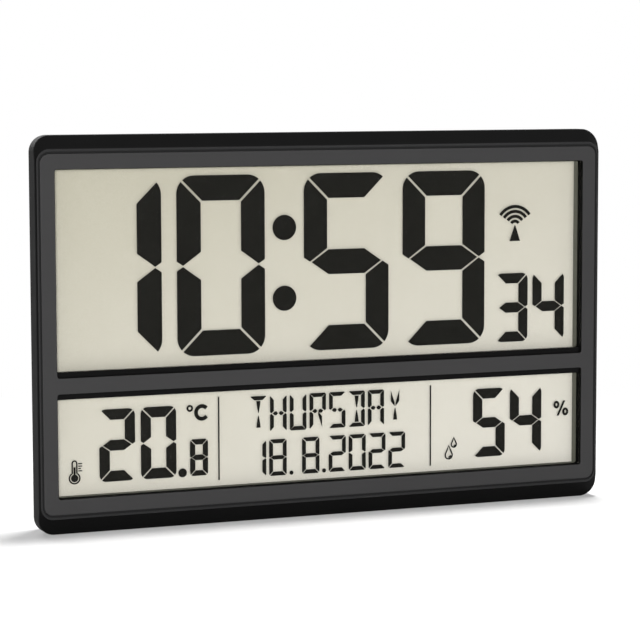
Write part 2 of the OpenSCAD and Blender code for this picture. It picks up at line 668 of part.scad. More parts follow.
// Battery cells with springs, plates and door
module cell(s, z) mirror([s < 0 ? 1 : 0, 0, 0]) {
  bar_x(cell_r, contact_x - cell_l, contact_x - 1.5, cell_d, z);
  bar_x(2.7, contact_x - 2, contact_x, cell_d, z);
}
module cell_a() color([0.15, 0.2, 0.3]) cell(1, cell_z[0]);
module cell_b() color([0.15, 0.2, 0.3]) cell(-1, cell_z[1]);
// Conical springs between plates and cells, as one swept wire each
module spring(s, z) mirror([s < 0 ? 1 : 0, 0, 0])
  translate([-contact_x, cell_d - case_t, z - hang_z]) polyhedron(spring_points, spring_faces);
module cell_springs() color(c_steel) {
  spring(1, cell_z[0]);
  spring(-1, cell_z[1]);
}
module contact_plates() color(c_steel) {
  translate([contact_x + 0.2, 0]) slab(cell_d - 6, cell_d + 6) rect(0.4, [cell_z[1] - 6, cell_z[0] + 6]);
  for (z = cell_z) translate([-contact_x - 0.2, 0]) slab(cell_d - 6, cell_d + 6) rect(0.4, [z - 6, z + 6]);
}
module battery_door() color(c_back) difference() {
  union() {
    slab(door_d, case_t) rect(2 * door_x, door_z);
    slab(door_d, door_d + 0.6) rect(2 * door_x + 2.4, door_z);
  }
  slab(case_t - 0.5, case_t + 1)
    for (i = [0 : 4]) rect_at(0, door_z[0] + 8 + i * 2.6, 20, 1.3);
}

// Fold-out legs and their pins
module leg(s) difference() {
  union() {
    slab(leg_d - leg_t / 2, leg_d + leg_t / 2) translate([s * leg_x, leg_z]) {
      translate([-leg_w / 2, 0]) square([leg_w, leg_l - 4]);
      translate([-leg_w / 2 + 4, 0]) square([leg_w - 8, leg_l]);
      for (x = [-1, 1]) translate([x * (leg_w / 2 - 4), leg_l - 4]) circle(4);
    }
    bar_x(leg_t / 2, s * leg_x - leg_w / 2, s * leg_x + leg_w / 2, leg_d, leg_z);
  }
  bar_x(pin_r + 0.1, s * leg_x - leg_w, s * leg_x + leg_w, leg_d, leg_z);
  slab(leg_d - leg_t, leg_d) rect_at(s * leg_x, leg_z + leg_l / 2, leg_w - 6, leg_l - 16);
}
module left_leg() color(c_back) leg(-1);
module right_leg() color(c_back) leg(1);
module leg_pin(s) bar_x(pin_r, s * leg_x - pin_x, s * leg_x + pin_x, leg_d, leg_z);
module left_leg_pin() color(c_steel) leg_pin(-1);
module right_leg_pin() color(c_steel) leg_pin(1);

// Setting buttons
module button(i) {
  slab(inner_d - 1.5, case_t - 0.2) translate([i * button_pitch, button_z]) circle(button_r);
  slab(inner_d - 1.5, inner_d) translate([i * button_pitch, button_z]) circle(button_r + 1.4);
  slab(parts_d + switch_h + 0.3 + button_travel, inner_d - 1)
    translate([i * button_pitch, button_z]) circle(2);
}
module set_button() color([0.16, 0.16, 0.17]) button(-2);
module plus_button() color([0.16, 0.16, 0.17]) button(-1);
module minus_button() color([0.16, 0.16, 0.17]) button(0);
module unit_button() color([0.16, 0.16, 0.17]) button(1);
module wave_button() color([0.16, 0.16, 0.17]) button(2);

front_frame();
front_housing();
time_gasket();
climate_gasket();
time_front_glass();
time_seal();
time_segments();
time_rear_glass();
time_reflector();
climate_front_glass();
climate_seal();
climate_segments();
climate_rear_glass();
climate_reflector();
lcd_carrier();
carrier_screws();
time_connector();
climate_connector();
main_board();
clock_chip();
quartz_crystal();
capacitors();
button_switches();
board_screws();
antenna_rod();
antenna_coil();
receiver_board();
sensor_board();
sensor_chip();
rear_cover();
case_screws();
cell_a();
cell_b();
cell_springs();
contact_plates();
battery_door();
left_leg();
right_leg();
left_leg_pin();
right_leg_pin();
set_button();
plus_button();
minus_button();
unit_button();
wave_button();
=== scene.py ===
"""Finishes, rounded shells, display figures, light and camera for a digital wall clock.

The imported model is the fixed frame. Sizes below are in millimetres on the clock's front view: x to the right,
z up from the middle of the face, and depth from the face towards the wall.
"""

from __future__ import annotations

import json
import logging
import math
from dataclasses import astuple, dataclass
from enum import Enum, IntEnum
from typing import Callable, Iterable, Sequence, Union

import bmesh
import bpy
from mathutils import Matrix, Vector

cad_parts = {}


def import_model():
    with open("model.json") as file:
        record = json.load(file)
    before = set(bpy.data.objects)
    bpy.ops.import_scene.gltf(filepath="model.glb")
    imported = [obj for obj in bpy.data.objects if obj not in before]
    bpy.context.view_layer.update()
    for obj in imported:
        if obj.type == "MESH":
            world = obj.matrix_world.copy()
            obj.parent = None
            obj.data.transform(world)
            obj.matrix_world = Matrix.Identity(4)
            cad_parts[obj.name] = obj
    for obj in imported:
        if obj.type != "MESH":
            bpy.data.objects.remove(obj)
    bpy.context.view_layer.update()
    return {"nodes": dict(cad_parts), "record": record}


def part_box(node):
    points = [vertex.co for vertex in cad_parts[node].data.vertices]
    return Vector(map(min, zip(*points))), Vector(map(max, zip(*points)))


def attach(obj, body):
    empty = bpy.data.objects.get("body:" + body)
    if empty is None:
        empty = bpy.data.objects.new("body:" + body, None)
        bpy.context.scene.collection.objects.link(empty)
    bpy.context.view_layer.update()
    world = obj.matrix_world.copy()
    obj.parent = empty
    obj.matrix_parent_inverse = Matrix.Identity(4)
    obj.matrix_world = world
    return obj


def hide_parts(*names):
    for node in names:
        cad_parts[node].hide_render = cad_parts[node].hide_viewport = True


MM = 0.001  # metres
WELD = 1e-7  # points closer than this become one, in metres
NORMAL_WEIGHT = 100  # how strongly large faces lead the shading
LEAST_RADIUS = 0.05  # of a corner
WINDOW_STEPS = 6  # pieces per corner of a window or of the door
GROOVE_STEPS = 4  # pieces per corner of a grip groove
LOG =logging.getLogger("clock")
Point2 = tuple[float, float]
Pair = tuple[float, float]
Colour = tuple[float, float, float]
Ring = list[bmesh.types.BMVert]


class Slot(Enum):
    """Material slots of the record that pieces take their finish from."""

    SATIN_GREY = "satin_grey"
    GLOSS_BLACK = "gloss_black"
    BLACK_FOAM = "black_foam"
    DISPLAY_GLASS = "display_glass"
    SEAL_OLIVE = "seal_olive"
    SEGMENT_INK = "segment_ink"
    REFLECTOR_FILM = "reflector_film"
    CARRIER_WHITE = "carrier_white"
    SCREW_STEEL = "screw_steel"
    CONNECTOR_RUBBER = "connector_rubber"
    BOARD_GREEN = "board_green"
    CHIP_BLACK = "chip_black"
    CAPACITOR_SLEEVE = "capacitor_sleeve"
    FERRITE = "ferrite"
    COPPER_WIRE = "copper_wire"
    BACK_BLACK = "back_black"
    CELL_SLEEVE = "cell_sleeve"
    CONTACT_NICKEL = "contact_nickel"
    BUTTON_GREY = "button_grey"


# Shader maths


def operator_pair(operation: str) -> tuple[Callable[[Wire, Value], Wire], Callable[[Wire, Value], Wire]]:
    """Make an operator for wires.

    Args:
        operation: of the Math node that the operator adds.

    Returns:
        The operator and its reflected form.
    """
    def direct(wire: Wire, other: Value) -> Wire:
        """Put the wire first."""
        return wire.sheet.compute(operation, wire, other)

    def reflected(wire: Wire, other: Value) -> Wire:
        """Put the wire second."""
        return wire.sheet.compute(operation, other, wire)

    return direct, reflected


class Wire:
    """A shader socket that takes part in Python arithmetic."""

    def __init__(self, sheet: Sheet, socket: bpy.types.NodeSocket) -> None:
        """Keep the socket and the node tree it belongs to."""
        self.sheet = sheet
        self.socket = socket

    __add__, __radd__ = operator_pair("ADD")
    __sub__, __rsub__ = operator_pair("SUBTRACT")
    __mul__, __rmul__ = operator_pair("MULTIPLY")
    __truediv__, __rtruediv__ = operator_pair("DIVIDE")
    __gt__, __lt__ = operator_pair("GREATER_THAN")

    def largest(self, other: Value) -> Wire:
        """The larger of two values."""
        return self.sheet.compute("MAXIMUM", self, other)

    def swing(self, share: float, width: float) -> Wire:
        """A share of this noise's distance from 0.5, times a width."""
        return share * (self - 0.5) * width


Value = Union[float, Wire]
Input = Union[float, Sequence[float], Wire]


class Sheet:
    """The node tree of one material or of the world."""

    def __init__(self, owner: Union[bpy.types.Material, bpy.types.World]) -> None:
        """Empty the owner's tree."""
        owner.use_nodes = True
        self.tree = owner.node_tree
        self.tree.nodes.clear()

    def add(self, kind: str, settings: dict | None = None, inputs: dict | None = None) -> list[Wire]:
        """Add a node, with its settings first.

        Args:
            kind: the node's type.
            settings: attributes of the node.
            inputs: values or wires by socket number, identifier or name.

        Returns:
            The node's outputs.
        """
        node = self.tree.nodes.new(kind)
        for key, value in (settings or {}).items():
            setattr(node, key, value)
        for key, value in (inputs or {}).items():
            matches = [socket for socket in node.inputs if socket.identifier == key]
            socket = matches[0] if matches else node.inputs[key]
            if isinstance(value, Wire):
                self.tree.links.new(value.socket, socket)
            elif socket.type == "RGBA" and len(value) == 3:
                socket.default_value = (*value, 1.0)
            else:
                socket.default_value = value
        return [Wire(self, socket) for socket in node.outputs]

    def compute(self, operation: str, *terms: Value) -> Wire:
        """Result of a Math node for numbers or wires."""
        return self.add("ShaderNodeMath", {"operation": operation}, dict(enumerate(terms)))[0]

    def place(self) -> Wire:
        """Object coordinates, which are the frame's own."""
        _, _, _, place, *_ = self.add("ShaderNodeTexCoord")
        return place

    def axes(self) -> list[Wire]:
        """The three coordinates, in metres."""
        return self.add("ShaderNodeSeparateXYZ", {}, {0: self.place()})

    def noise(self, size_mm: float, detail: float = 2.0, stretch: Sequence[float] = (1, 1, 1)) -> Wire:
        """Soft noise.

        Args:
            size_mm: size of its clouds.
            detail: octaves.
            stretch: how much longer the clouds are along x, y and z.

        Returns:
            A value from 0 to 1, around 0.5.
        """
        place = self.add("ShaderNodeVectorMath", {"operation": "DIVIDE"}, {0: self.place(), 1: stretch})[0]
        return self.add("ShaderNodeTexNoise", {}, {
            "Vector": place, "Scale": 1 / (size_mm * MM), "Detail": detail})[0]

    def waves(self, length_mm: float) -> Wire:
        """A sine along x, from -1 to 1."""
        return self.compute("SINE", self.axes()[0] * (2 * math.pi / (length_mm * MM)))

    def mix(self, factor: Value, first: Input, second: Input) -> Wire:
        """Blend two colours."""
        _, _, blend, *_ = self.add("ShaderNodeMix", {"data_type": "RGBA"}, {
            "Factor_Float": factor, "A_Color": first, "B_Color": second})
        return blend

    def seen(self) -> Wire:
        """One for what the camera sees straight, mirrored or through glass, and else zero."""
        camera, _, _, mirrored, _, _, through, *_ = self.add("ShaderNodeLightPath")
        return camera.largest(mirrored).largest(through)


# Finishes


@dataclass(frozen=True)
class Finish:
    """A surface with a base colour, a roughness and fine unevenness.

    Fields:
        name: of the material.
        colour: linear base colour.
        roughness: mean roughness.
        clouds: share by which the colour varies, and size of that variation in millimetres.
        haze: share by which the roughness varies.
        grain: size and depth of the surface grain in millimetres.
        specular: level of the clear reflection.
        metallic: 1 for bare metal.
        coat: weight of a clear coat.
        alpha: how solid the surface is.
    """

    HAZE_SIZE = 0.6  # share of the clouds' size
    HAZE_WIDTH = 2
    GRAIN_DETAIL = 3.0  # octaves

    name: str
    colour: Colour
    roughness: float
    clouds: Pair = (0.08, 22.0)
    haze: float = 0.2
    grain: Pair = (0.45, 0.012)
    specular: float = 0.4
    metallic: float = 0.0
    coat: float = 0.0
    alpha: float = 1.0

    def base(self, sheet: Sheet) -> Input:
        """Give the base colour its slight clouds.

        Args:
            sheet: the material's nodes.

        Returns:
            The base colour.
        """
        share, size = self.clouds
        dark, light = (tuple(c * (1 + change) for c in self.colour) for change in (-share, share))
        return sheet.mix(sheet.noise(size), dark, light)

    def rough(self, sheet: Sheet) -> Value:
        """Roughness with a slight haze."""
        haze = sheet.noise(self.clouds[1] * self.HAZE_SIZE).swing(self.haze, self.HAZE_WIDTH)
        return self.roughness * (1 + haze)

    def relief(self, sheet: Sheet) -> Wire:
        """Height of the surface grain."""
        return sheet.noise(self.grain[0], self.GRAIN_DETAIL)

    def build(self) -> bpy.types.Material:
        """Make the material.

        Returns:
            The new material.
        """
        material = bpy.data.materials.new(self.name)
        sheet = Sheet(material)
        bump = sheet.add("ShaderNodeBump", {}, {
            "Strength": 1.0, "Distance": self.grain[1] * MM, "Height": self.relief(sheet)})[0]
        surface = sheet.add("ShaderNodeBsdfPrincipled", {}, {
            "Base Color": self.base(sheet), "Roughness": self.rough(sheet), "Normal": bump,
            "Metallic": self.metallic, "Specular IOR Level": self.specular,
            "Coat Weight": self.coat, "Alpha": self.alpha})[0]
        sheet.add("ShaderNodeOutputMaterial", {}, {"Surface": surface})
        material.diffuse_color = (*self.colour, self.alpha)
        return material


@dataclass(frozen=True)
class PearlFilm(Finish):
    """Reflector film with a fine sparkle, painted paler towards its lower right corner: painted light, standing in
    for light that falls more brightly there.

    Fields:
        pale: colour at that painted lit corner.
        painted_light_ramp: share of the pale colour at the origin, and its gain per metre to the right and
            downwards, which paints the light gradient.
        flake_mm: size of one flake.
        sparkle: share by which flakes differ.
        spread: how widely clouds and flakes swing the share of the pale colour.
    """

    pale: Colour = (0.79, 0.765, 0.69)
    painted_light_ramp: tuple[float, float, float] = (0.27, 0.8, 2.6)
    flake_mm: float = 0.35
    sparkle: float = 0.05
    spread: float = 4.0

    def base(self, sheet: Sheet) -> Input:
        """Give the base colour a painted light gradient, paler to the right and downwards, with clouds and single
        flakes.

        Args:
            sheet: the material's nodes.

        Returns:
            The base colour.
        """
        _, flakes, *_ = sheet.add("ShaderNodeTexVoronoi", {}, {
            "Vector": sheet.place(), "Scale": 1 / (self.flake_mm * MM)})
        spark = sheet.add("ShaderNodeSeparateColor", {}, {0: flakes})[0]
        x, _, z = sheet.axes()
        start, right, down = self.painted_light_ramp
        # painted light: the pale colour's share grows to the right and downwards
        painted_light_ramp = start + right * x - down * z
        share, size = self.clouds
        clouds = sheet.noise(size).swing(share, self.spread) + spark.swing(self.sparkle, self.spread)
        return sheet.mix(painted_light_ramp + clouds, self.colour, self.pale)


@dataclass(frozen=True)
class WoundWire(Finish):
    """Close turns of enamelled wire around the x axis.

    Fields:
        wire_mm: diameter of the wire.
    """

    wire_mm: float = 0.4

    def relief(self, sheet: Sheet) -> Wire:
        """Rounded turns side by side."""
        return sheet.waves(self.wire_mm)


@dataclass(frozen=True)
class StripedRubber(Finish):
    """Elastomer strip with conducting layers along x.

    Fields:
        layer_mm: width of a pair of layers.
        second: colour of the other layer.
    """

    layer_mm: float = 1.2
    second: Colour = (0.25, 0.25, 0.26)

    def base(self, sheet: Sheet) -> Input:
        """Layers of two colours."""
        return sheet.mix(sheet.waves(self.layer_mm) > 0, self.colour, self.second)


@dataclass(frozen=True)
class SolderMask(Finish):
    """Printed board with copper tracks under a green mask.

    Fields:
        track: colour of a covered track.
        pitch_mm: distance between tracks.
        track_wide, track_long: half width and length of a track, in pitches.
        shift: how far every other row of tracks is set off, as a share of a track's length.
        squash: how much longer the tracks of every other row are.
        patch_mm: size of the areas with tracks.
        patch_from: level of the noise at which such an area starts.
    """

    track: Colour = (0.05, 0.22, 0.09)
    pitch_mm: float = 2.2
    track_wide: float = 0.07
    track_long: float = 5.0
    shift: float = 0.37
    squash: float = 1.6
    patch_mm: float = 16.0
    patch_from: float = 0.47

    def base(self, sheet: Sheet) -> Input:
        """Draw lighter tracks on the mask.

        Args:
            sheet: the material's nodes.

        Returns:
            The base colour.
        """
        flat = sheet.add("ShaderNodeMapping", {}, {"Vector": sheet.place(), "Rotation": (math.pi / 2, 0, 0)})[0]
        lines = sheet.add("ShaderNodeTexBrick", {"offset": self.shift, "squash": self.squash}, {
            "Vector": flat, "Scale": 1 / (self.pitch_mm * MM), "Mortar Size": self.track_wide,
            "Brick Width": self.track_long, "Row Height": 1.0})[1]
        patch = sheet.noise(self.patch_mm) > self.patch_from
        return sheet.mix(lines * patch, super().base(sheet), self.track)


@dataclass(frozen=True)
class BandedSleeve(Finish):
    """Cell sleeve with a plain band towards each end.

    Fields:
        band: colour of the bands.
        band_mm: how far from the clock's middle they start.
    """

    band: Colour = (0.42, 0.43, 0.44)
    band_mm: float = 13.0

    def base(self, sheet: Sheet) -> Input:
        """Sleeve colour and end bands."""
        far = sheet.compute("ABSOLUTE", sheet.axes()[0])
        return sheet.mix(far > self.band_mm * MM, super().base(sheet), self.band)


@dataclass(frozen=True)
class BrushedMetal(Finish):
    """Plated metal with fine drawn lines.

    Fields:
        stretch: how much longer the lines are along x, y and z.
    """

    stretch: tuple[float, float, float] = (8, 8, 1)

    def relief(self, sheet: Sheet) -> Wire:
        """Fine lines in one direction."""
        return sheet.noise(self.grain[0], stretch=self.stretch)


class Palette:
    """Every finish of the clock, made once each."""

    FINISHES: dict[Slot, Finish] = {
        Slot.SATIN_GREY: Finish("satin_grey_plastic", (0.0345, 0.034, 0.0345), 0.46, clouds=(0.05, 30),
                                haze=0.12, grain=(0.3, 0.010), specular=0.14),
        Slot.GLOSS_BLACK: Finish("gloss_black_plastic", (0.004, 0.004, 0.004), 0.16, clouds=(0.15, 26),
                                 haze=0.3, grain=(5.0, 0.004), specular=0.05),
        Slot.BLACK_FOAM: Finish("matt_black_spacer", (0.005, 0.005, 0.0045), 0.75, clouds=(0.2, 6),
                                haze=0.1, grain=(0.5, 0.03), specular=0.04),
        Slot.DISPLAY_GLASS: Finish("display_glass", (0.02, 0.022, 0.02), 0.22, clouds=(0.1, 40),
                                   grain=(0.2, 0.001), specular=0.3, alpha=0.012),
        Slot.SEAL_OLIVE: Finish("olive_edge_seal", (0.115, 0.115, 0.09), 0.6, clouds=(0.12, 5),
                                haze=0.1, grain=(0.6, 0.01), specular=0.2),
        Slot.SEGMENT_INK: Finish("dark_segment", (0.0105, 0.0102, 0.0085), 0.6, clouds=(0.12, 14),
                                 haze=0.1, grain=(0.4, 0.002), specular=0.04),
        Slot.REFLECTOR_FILM: PearlFilm("pearl_reflector", (0.475, 0.452, 0.352), 0.6, clouds=(0.03, 60),
                                       haze=0.1, grain=(0.3, 0.004), specular=0.1),
        Slot.CARRIER_WHITE: Finish("moulded_white", (0.6, 0.6, 0.58), 0.5),
        Slot.SCREW_STEEL: BrushedMetal("zinc_steel", (0.4, 0.4, 0.41), 0.42, clouds=(0.1, 3),
                                       haze=0.3, grain=(0.15, 0.004), specular=0.5, metallic=1.0),
        Slot.CONNECTOR_RUBBER: StripedRubber("striped_elastomer", (0.05, 0.05, 0.055), 0.6),
        Slot.BOARD_GREEN: SolderMask("solder_mask", (0.02, 0.12, 0.05), 0.35, coat=0.3),
        Slot.CHIP_BLACK: Finish("black_epoxy", (0.012, 0.012, 0.012), 0.3, clouds=(0.1, 4), grain=(2.0, 0.02)),
        Slot.CAPACITOR_SLEEVE: Finish("dark_blue_sleeve", (0.02, 0.025, 0.05), 0.25),
        Slot.FERRITE: Finish("sintered_ferrite", (0.03, 0.03, 0.032), 0.55, clouds=(0.2, 3), grain=(0.25, 0.02)),
        Slot.COPPER_WIRE: WoundWire("enamelled_copper", (0.6, 0.24, 0.08), 0.3, clouds=(0.1, 3),
                                    grain=(0.4, 0.12), specular=0.5, metallic=0.9, coat=0.3),
        Slot.BACK_BLACK: Finish("grained_black_back", (0.016, 0.016, 0.017), 0.58, clouds=(0.1, 35),
                                haze=0.12, grain=(0.55, 0.035), specular=0.3),
        Slot.CELL_SLEEVE: BandedSleeve("cell_sleeve", (0.06, 0.085, 0.12), 0.25, clouds=(0.05, 8),
                                       haze=0.1, grain=(0.3, 0.002), specular=0.5),
        Slot.CONTACT_NICKEL: BrushedMetal("nickel_contact", (0.68, 0.66, 0.6), 0.25, clouds=(0.08, 3),
                                          haze=0.3, grain=(0.12, 0.003), specular=0.5, metallic=1.0),
        Slot.BUTTON_GREY: Finish("button_rubber", (0.045, 0.045, 0.047), 0.62, clouds=(0.08, 5),
                                 haze=0.1, grain=(0.25, 0.01), specular=0.25),
    }
    MARK_WHITE = Finish("pale_print", (0.55, 0.55, 0.54), 0.5, clouds=(0.05, 3), haze=0.1,
                        grain=(0.2, 0.002), specular=0.3)
    # Painted shade: the screws' cross recesses get a dark steel that stands in for the shade inside them.
    RECESS_PAINTED_SHADE = BrushedMetal("screw_recess_painted_shade", (0.09, 0.09, 0.092), 0.55, clouds=(0.15, 2),
                                grain=(0.2, 0.004), metallic=1.0)
    LIP_SATIN = Finish("satin_black_lip", (0.02, 0.02, 0.0204), 0.4, clouds=(0.06, 24), haze=0.15,
                       grain=(0.3, 0.008), specular=0.1)
    # Painted shade: the groove beside the plate gets a darker grey than the lip, standing in for the shade inside
    # it.
    GROOVE_PAINTED_SHADE = Finish("groove_painted_shade", (0.0135, 0.0135, 0.0137), 0.5, clouds=(0.06, 24), haze=0.15,
                          grain=(0.3, 0.008), specular=0.06)
    WALL_SATIN = Finish("satin_black_wall", (0.0185, 0.0185, 0.0187), 0.5, clouds=(0.06, 24), haze=0.15,
                        grain=(0.35, 0.012), specular=0.012)

    def __init__(self) -> None:
        """Start with nothing made."""
        self._made: dict[str, bpy.types.Material] = {}

    def material(self, finish: Union[Slot, Finish]) -> bpy.types.Material:
        """The material of a slot or of a finish.

        Args:
            finish: which one.

        Returns:
            The material, made at its first use.
        """
        finish = self.FINISHES[finish] if isinstance(finish, Slot) else finish
        if finish.name not in self._made:
            self._made[finish.name] = finish.build()
        return self._made[finish.name]


# Front-view geometry


@dataclass(frozen=True)
class Datum:
    """Where the front view lies in the frame.

    Fields:
        face_y: the face plane.
        middle_z: the middle of the face plate.
    """

    face_y: float
    middle_z: float

    @classmethod
    def from_frame(cls) -> Datum:
        """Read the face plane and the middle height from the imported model."""
        low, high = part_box("front_frame")
        return cls(low.y, (low.z + high.z) / 2)

    def at(self, x: float, z: float, depth: float) -> Vector:
        """Turn a place on the front view into a point of the frame."""
        return Vector((x * MM, self.face_y + depth * MM, self.middle_z + z * MM))

    def depths(self, node: str, clear: float = 0.0) -> Pair:
        """Depths of a node's front and back, or of places clear of them inside the node."""
        low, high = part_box(node)
        return (low.y - self.face_y) / MM + clear, (high.y - self.face_y) / MM - clear

    def spans(self, node: str) -> tuple[float, float, float, float]:
        """Left, right, lower and upper edge of a node on the front view."""
        low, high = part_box(node)
        return low.x / MM, high.x / MM, (low.z - self.middle_z) / MM, (high.z - self.middle_z) / MM


def arc(x: float, z: float, radius: Union[float, Pair], start: float, end: float, steps: int) -> list[Point2]:
    """Points on an arc.

    Args:
        x, z: its centre.
        radius: one radius, or one each along x and z.
        start, end: angles in degrees from the x axis.
        steps: pieces.

    Returns:
        The points.
    """
    rx, rz = radius if isinstance(radius, tuple) else (radius, radius)
    angles = [math.radians(start + (end - start) * i / steps) for i in range(steps + 1)]
    return [(x + rx * math.cos(a), z + rz * math.sin(a)) for a in angles]


def circle(x: float, z: float, radius: Union[float, Pair], steps: int = 28) -> list[Point2]:
    """Points around a circle or an ellipse."""
    return arc(x, z, radius, 0, 360, steps)[:-1]


def rectangle(left: float, right: float, lower: float, upper: float) -> list[Point2]:
    """Corners of a rectangle."""
    return [(left, lower), (right, lower), (right, upper), (left, upper)]


def rounded_edge(radius: float, steps: int = 4) -> list[Point2]:
    """Inset and depth along a rounded front edge."""
    return [(radius * (1 - math.sin(a)), radius * (1 - math.cos(a)))
            for a in (math.pi / 2 * i / steps for i in range(steps + 1))]


def wall_edge(size: float, top: float, radius: float, steps: int = 4) -> list[Point2]:
    """Size and depth along a rounded edge that looks to the wall."""
    return [(size - inset, top - drop) for inset, drop in reversed(rounded_edge(radius, steps))]


def onward(ring: list) -> list:
    """The members of a closed ring from the second round to the first."""
    return ring[1:] + ring[:1]


def placed(name: str, data: bpy.types.ID) -> bpy.types.Object:
    """A new object in the scene."""
    made = bpy.data.objects.new(name, data)
    bpy.context.scene.collection.objects.link(made)
    return made


@dataclass(frozen=True)
class RoundRect:
    """A rectangle with rounded corners on the front view.

    Fields:
        left, right, lower, upper: its edges.
        radius: of its corners.
    """

    left: float
    right: float
    lower: float
    upper: float
    radius: float

    def grown(self, by: float, high: float | None = None) -> RoundRect:
        """The same rectangle with one margin at the sides and another above and below."""
        rise = by if high is None else high
        return RoundRect(self.left - by, self.right + by, self.lower - rise, self.upper + rise,
                         max(LEAST_RADIUS, self.radius + by))

    def towards(self, other: RoundRect, share: float) -> RoundRect:
        """A rectangle between this one and another."""
        return RoundRect(*(a + (b - a) * share for a, b in zip(astuple(self), astuple(other))))

    def loop(self, steps: int = 10, reach: float = 0.0) -> list[Point2]:
        """Points around the outline.

        Args:
            steps: pieces per corner.
            reach: how far beyond a corner its upright side gets one more point, if it gets one.

        Returns:
            The points, counterclockwise from the lower right corner.
        """
        points: list[Point2] = []
        corners = ((self.right, self.lower, -1, 1, -90), (self.right, self.upper, -1, -1, 0),
                   (self.left, self.upper, 1, -1, 90), (self.left, self.lower, 1, 1, 180))
        for x, z, sx, sz, start in corners:
            turn = arc(x + sx * self.radius, z + sz * self.radius, self.radius, start, start + 90, steps)
            side = [(x, z + sz * (self.radius + reach))] if reach else []
            points += turn + side if sx * sz < 0 else side + turn
        return points


class Workpiece:
    """A mesh in the making, in front-view millimetres."""

    def __init__(self, datum: Datum, palette: Palette, span: Pair) -> None:
        """Start with an empty mesh, and with a front and a back depth for its flat solids."""
        self.datum = datum
        self.palette = palette
        self.span = span
        self.mesh = bmesh.new()

    def ring(self, loop: Sequence[Point2], depth: Union[float, list[float]]) -> Ring:
        """Add the points of a loop at one depth, or at a depth each."""
        depths = depth if isinstance(depth, list) else [depth] * len(loop)
        return [self.mesh.verts.new(self.datum.at(x, z, deep)) for (x, z), deep in zip(loop, depths)]

    def loft(self, rings: Sequence[Ring], finish: Union[int, Sequence[int]] = 0) -> None:
        """Join rings, each to the next, with quads.

        Args:
            rings: as many points in each.
            finish: number of the material, or one for each step.
        """
        finishes = [finish] * len(rings) if isinstance(finish, int) else finish
        for first, second, number in zip(rings, rings[1:], finishes):
            for a, b, c, d in zip(first, onward(first), onward(second), second):
                face = self.mesh.faces.new((a, b, c, d))
                face.material_index = number

    def cap(self, rings: Iterable[Ring], finish: int = 0) -> None:
        """Fill a flat area.

        Args:
            rings: its outline and its holes.
            finish: number of the material.
        """
        pairs = [pair for ring in rings for pair in zip(ring, onward(ring))]
        edges = [self.mesh.edges.get(pair) or self.mesh.edges.new(pair) for pair in pairs]
        made = bmesh.ops.triangle_fill(self.mesh, use_beauty=True, edges=edges, normal=(0, -1, 0))
        for item in made["geom"]:
            if isinstance(item, bmesh.types.BMFace):
                item.material_index = finish

    def panel(self, outline: RoundRect, windows: Sequence[RoundRect], profile: Sequence[Point2],
              second_from: int | None = None) -> None:
        """Add a flat panel with windows and shaped edges.

        Args:
            outline: its outer edge.
            windows: its openings.
            profile: inset and depth of each step along an edge, from front to back.
            second_from: step from which the windows' edges have the second material, if they have it.
        """
        stacks = [[self.ring(outline.grown(-inset).loop(), depth) for inset, depth in profile]]
        stacks += [[self.ring(w.grown(inset).loop(WINDOW_STEPS), depth) for inset, depth in profile]
                   for w in windows]
        first_only = len(profile) if second_from is None else second_from
        self.loft(stacks[0])
        for stack in stacks[1:]:
            self.loft(stack, [int(step >= first_only) for step in range(len(profile))])
        self.cap([stack[0] for stack in stacks])
        self.cap([stack[-1] for stack in stacks])

    def prism(self, polygon: Sequence[Point2]) -> None:
        """Add a flat solid.

        Args:
            polygon: its outline.
        """
        near, far = (self.ring(polygon, depth) for depth in self.span)
        self.loft([near, far])
        self.cap([near])
        self.cap([far])

    def band(self, outer: Sequence[Point2], inner: Sequence[Point2], closed: bool) -> None:
        """Add a flat solid between two lines.

        Args:
            outer: one line.
            inner: as many points of the other.
            closed: whether the lines run round.
        """
        rings = [self.ring(line, depth) for line in (outer, inner) for depth in self.span]
        order = [rings[0], rings[1], rings[3], rings[2]]
        count = len(outer)
        for i in range(count if closed else count - 1):
            j = (i + 1) % count
            for a, b in zip(order, onward(order)):
                self.mesh.faces.new((a[i], a[j], b[j], b[i]))
        if not closed:
            for i in (0, count - 1):
                self.mesh.faces.new([line[i] for line in order])

    def stroke(self, path: Sequence[Point2], width: float, closed: bool = False) -> None:
        """Add a flat line of even width.

        Args:
            path: its middle line.
            width: of the line.
            closed: whether it runs round.
        """
        left, right = [], []
        count = len(path)
        for i, (x, z) in enumerate(path):
            before = path[i - 1] if closed or i > 0 else path[0]
            after = path[(i + 1) % count] if closed or i < count - 1 else path[-1]
            along = Vector((after[0] - before[0], after[1] - before[1])).normalized()
            left.append((x - along.y * width / 2, z + along.x * width / 2))
            right.append((x + along.y * width / 2, z - along.x * width / 2))
        self.band(left, right, closed)

    def turned(self, x: float, z: float, profile: Sequence[Point2], steps: int) -> Ring:
        """Add a turned skin, closed at its start.

        Args:
            x, z: its axis.
            profile: radius and depth of each step.
            steps: pieces around the axis.

        Returns:
            The points of the last step.
        """
        rings = [self.ring(circle(x, z, radius, steps), depth) for radius, depth in profile]
        self.loft(rings)
        self.cap([rings[0]])
        return rings[-1]

    def pit(self, mouth: Sequence[Point2], floor: Sequence[Point2], depth: float, sunk: float,
            finish: int = 0) -> Ring:
        """Add the walls and the floor of a recess in a face that looks to the wall.

        Args:
            mouth: outline in the face.
            floor: as many points of the floor's outline.
            depth: of the face.
            sunk: how far the floor lies below it.
            finish: number of the material.

        Returns:
            The points of the mouth, as a hole for the face.
        """
        upper, lower = self.ring(mouth, depth), self.ring(floor, depth - sunk)
        self.loft([upper, lower], finish)
        self.cap([lower], finish)
        return upper

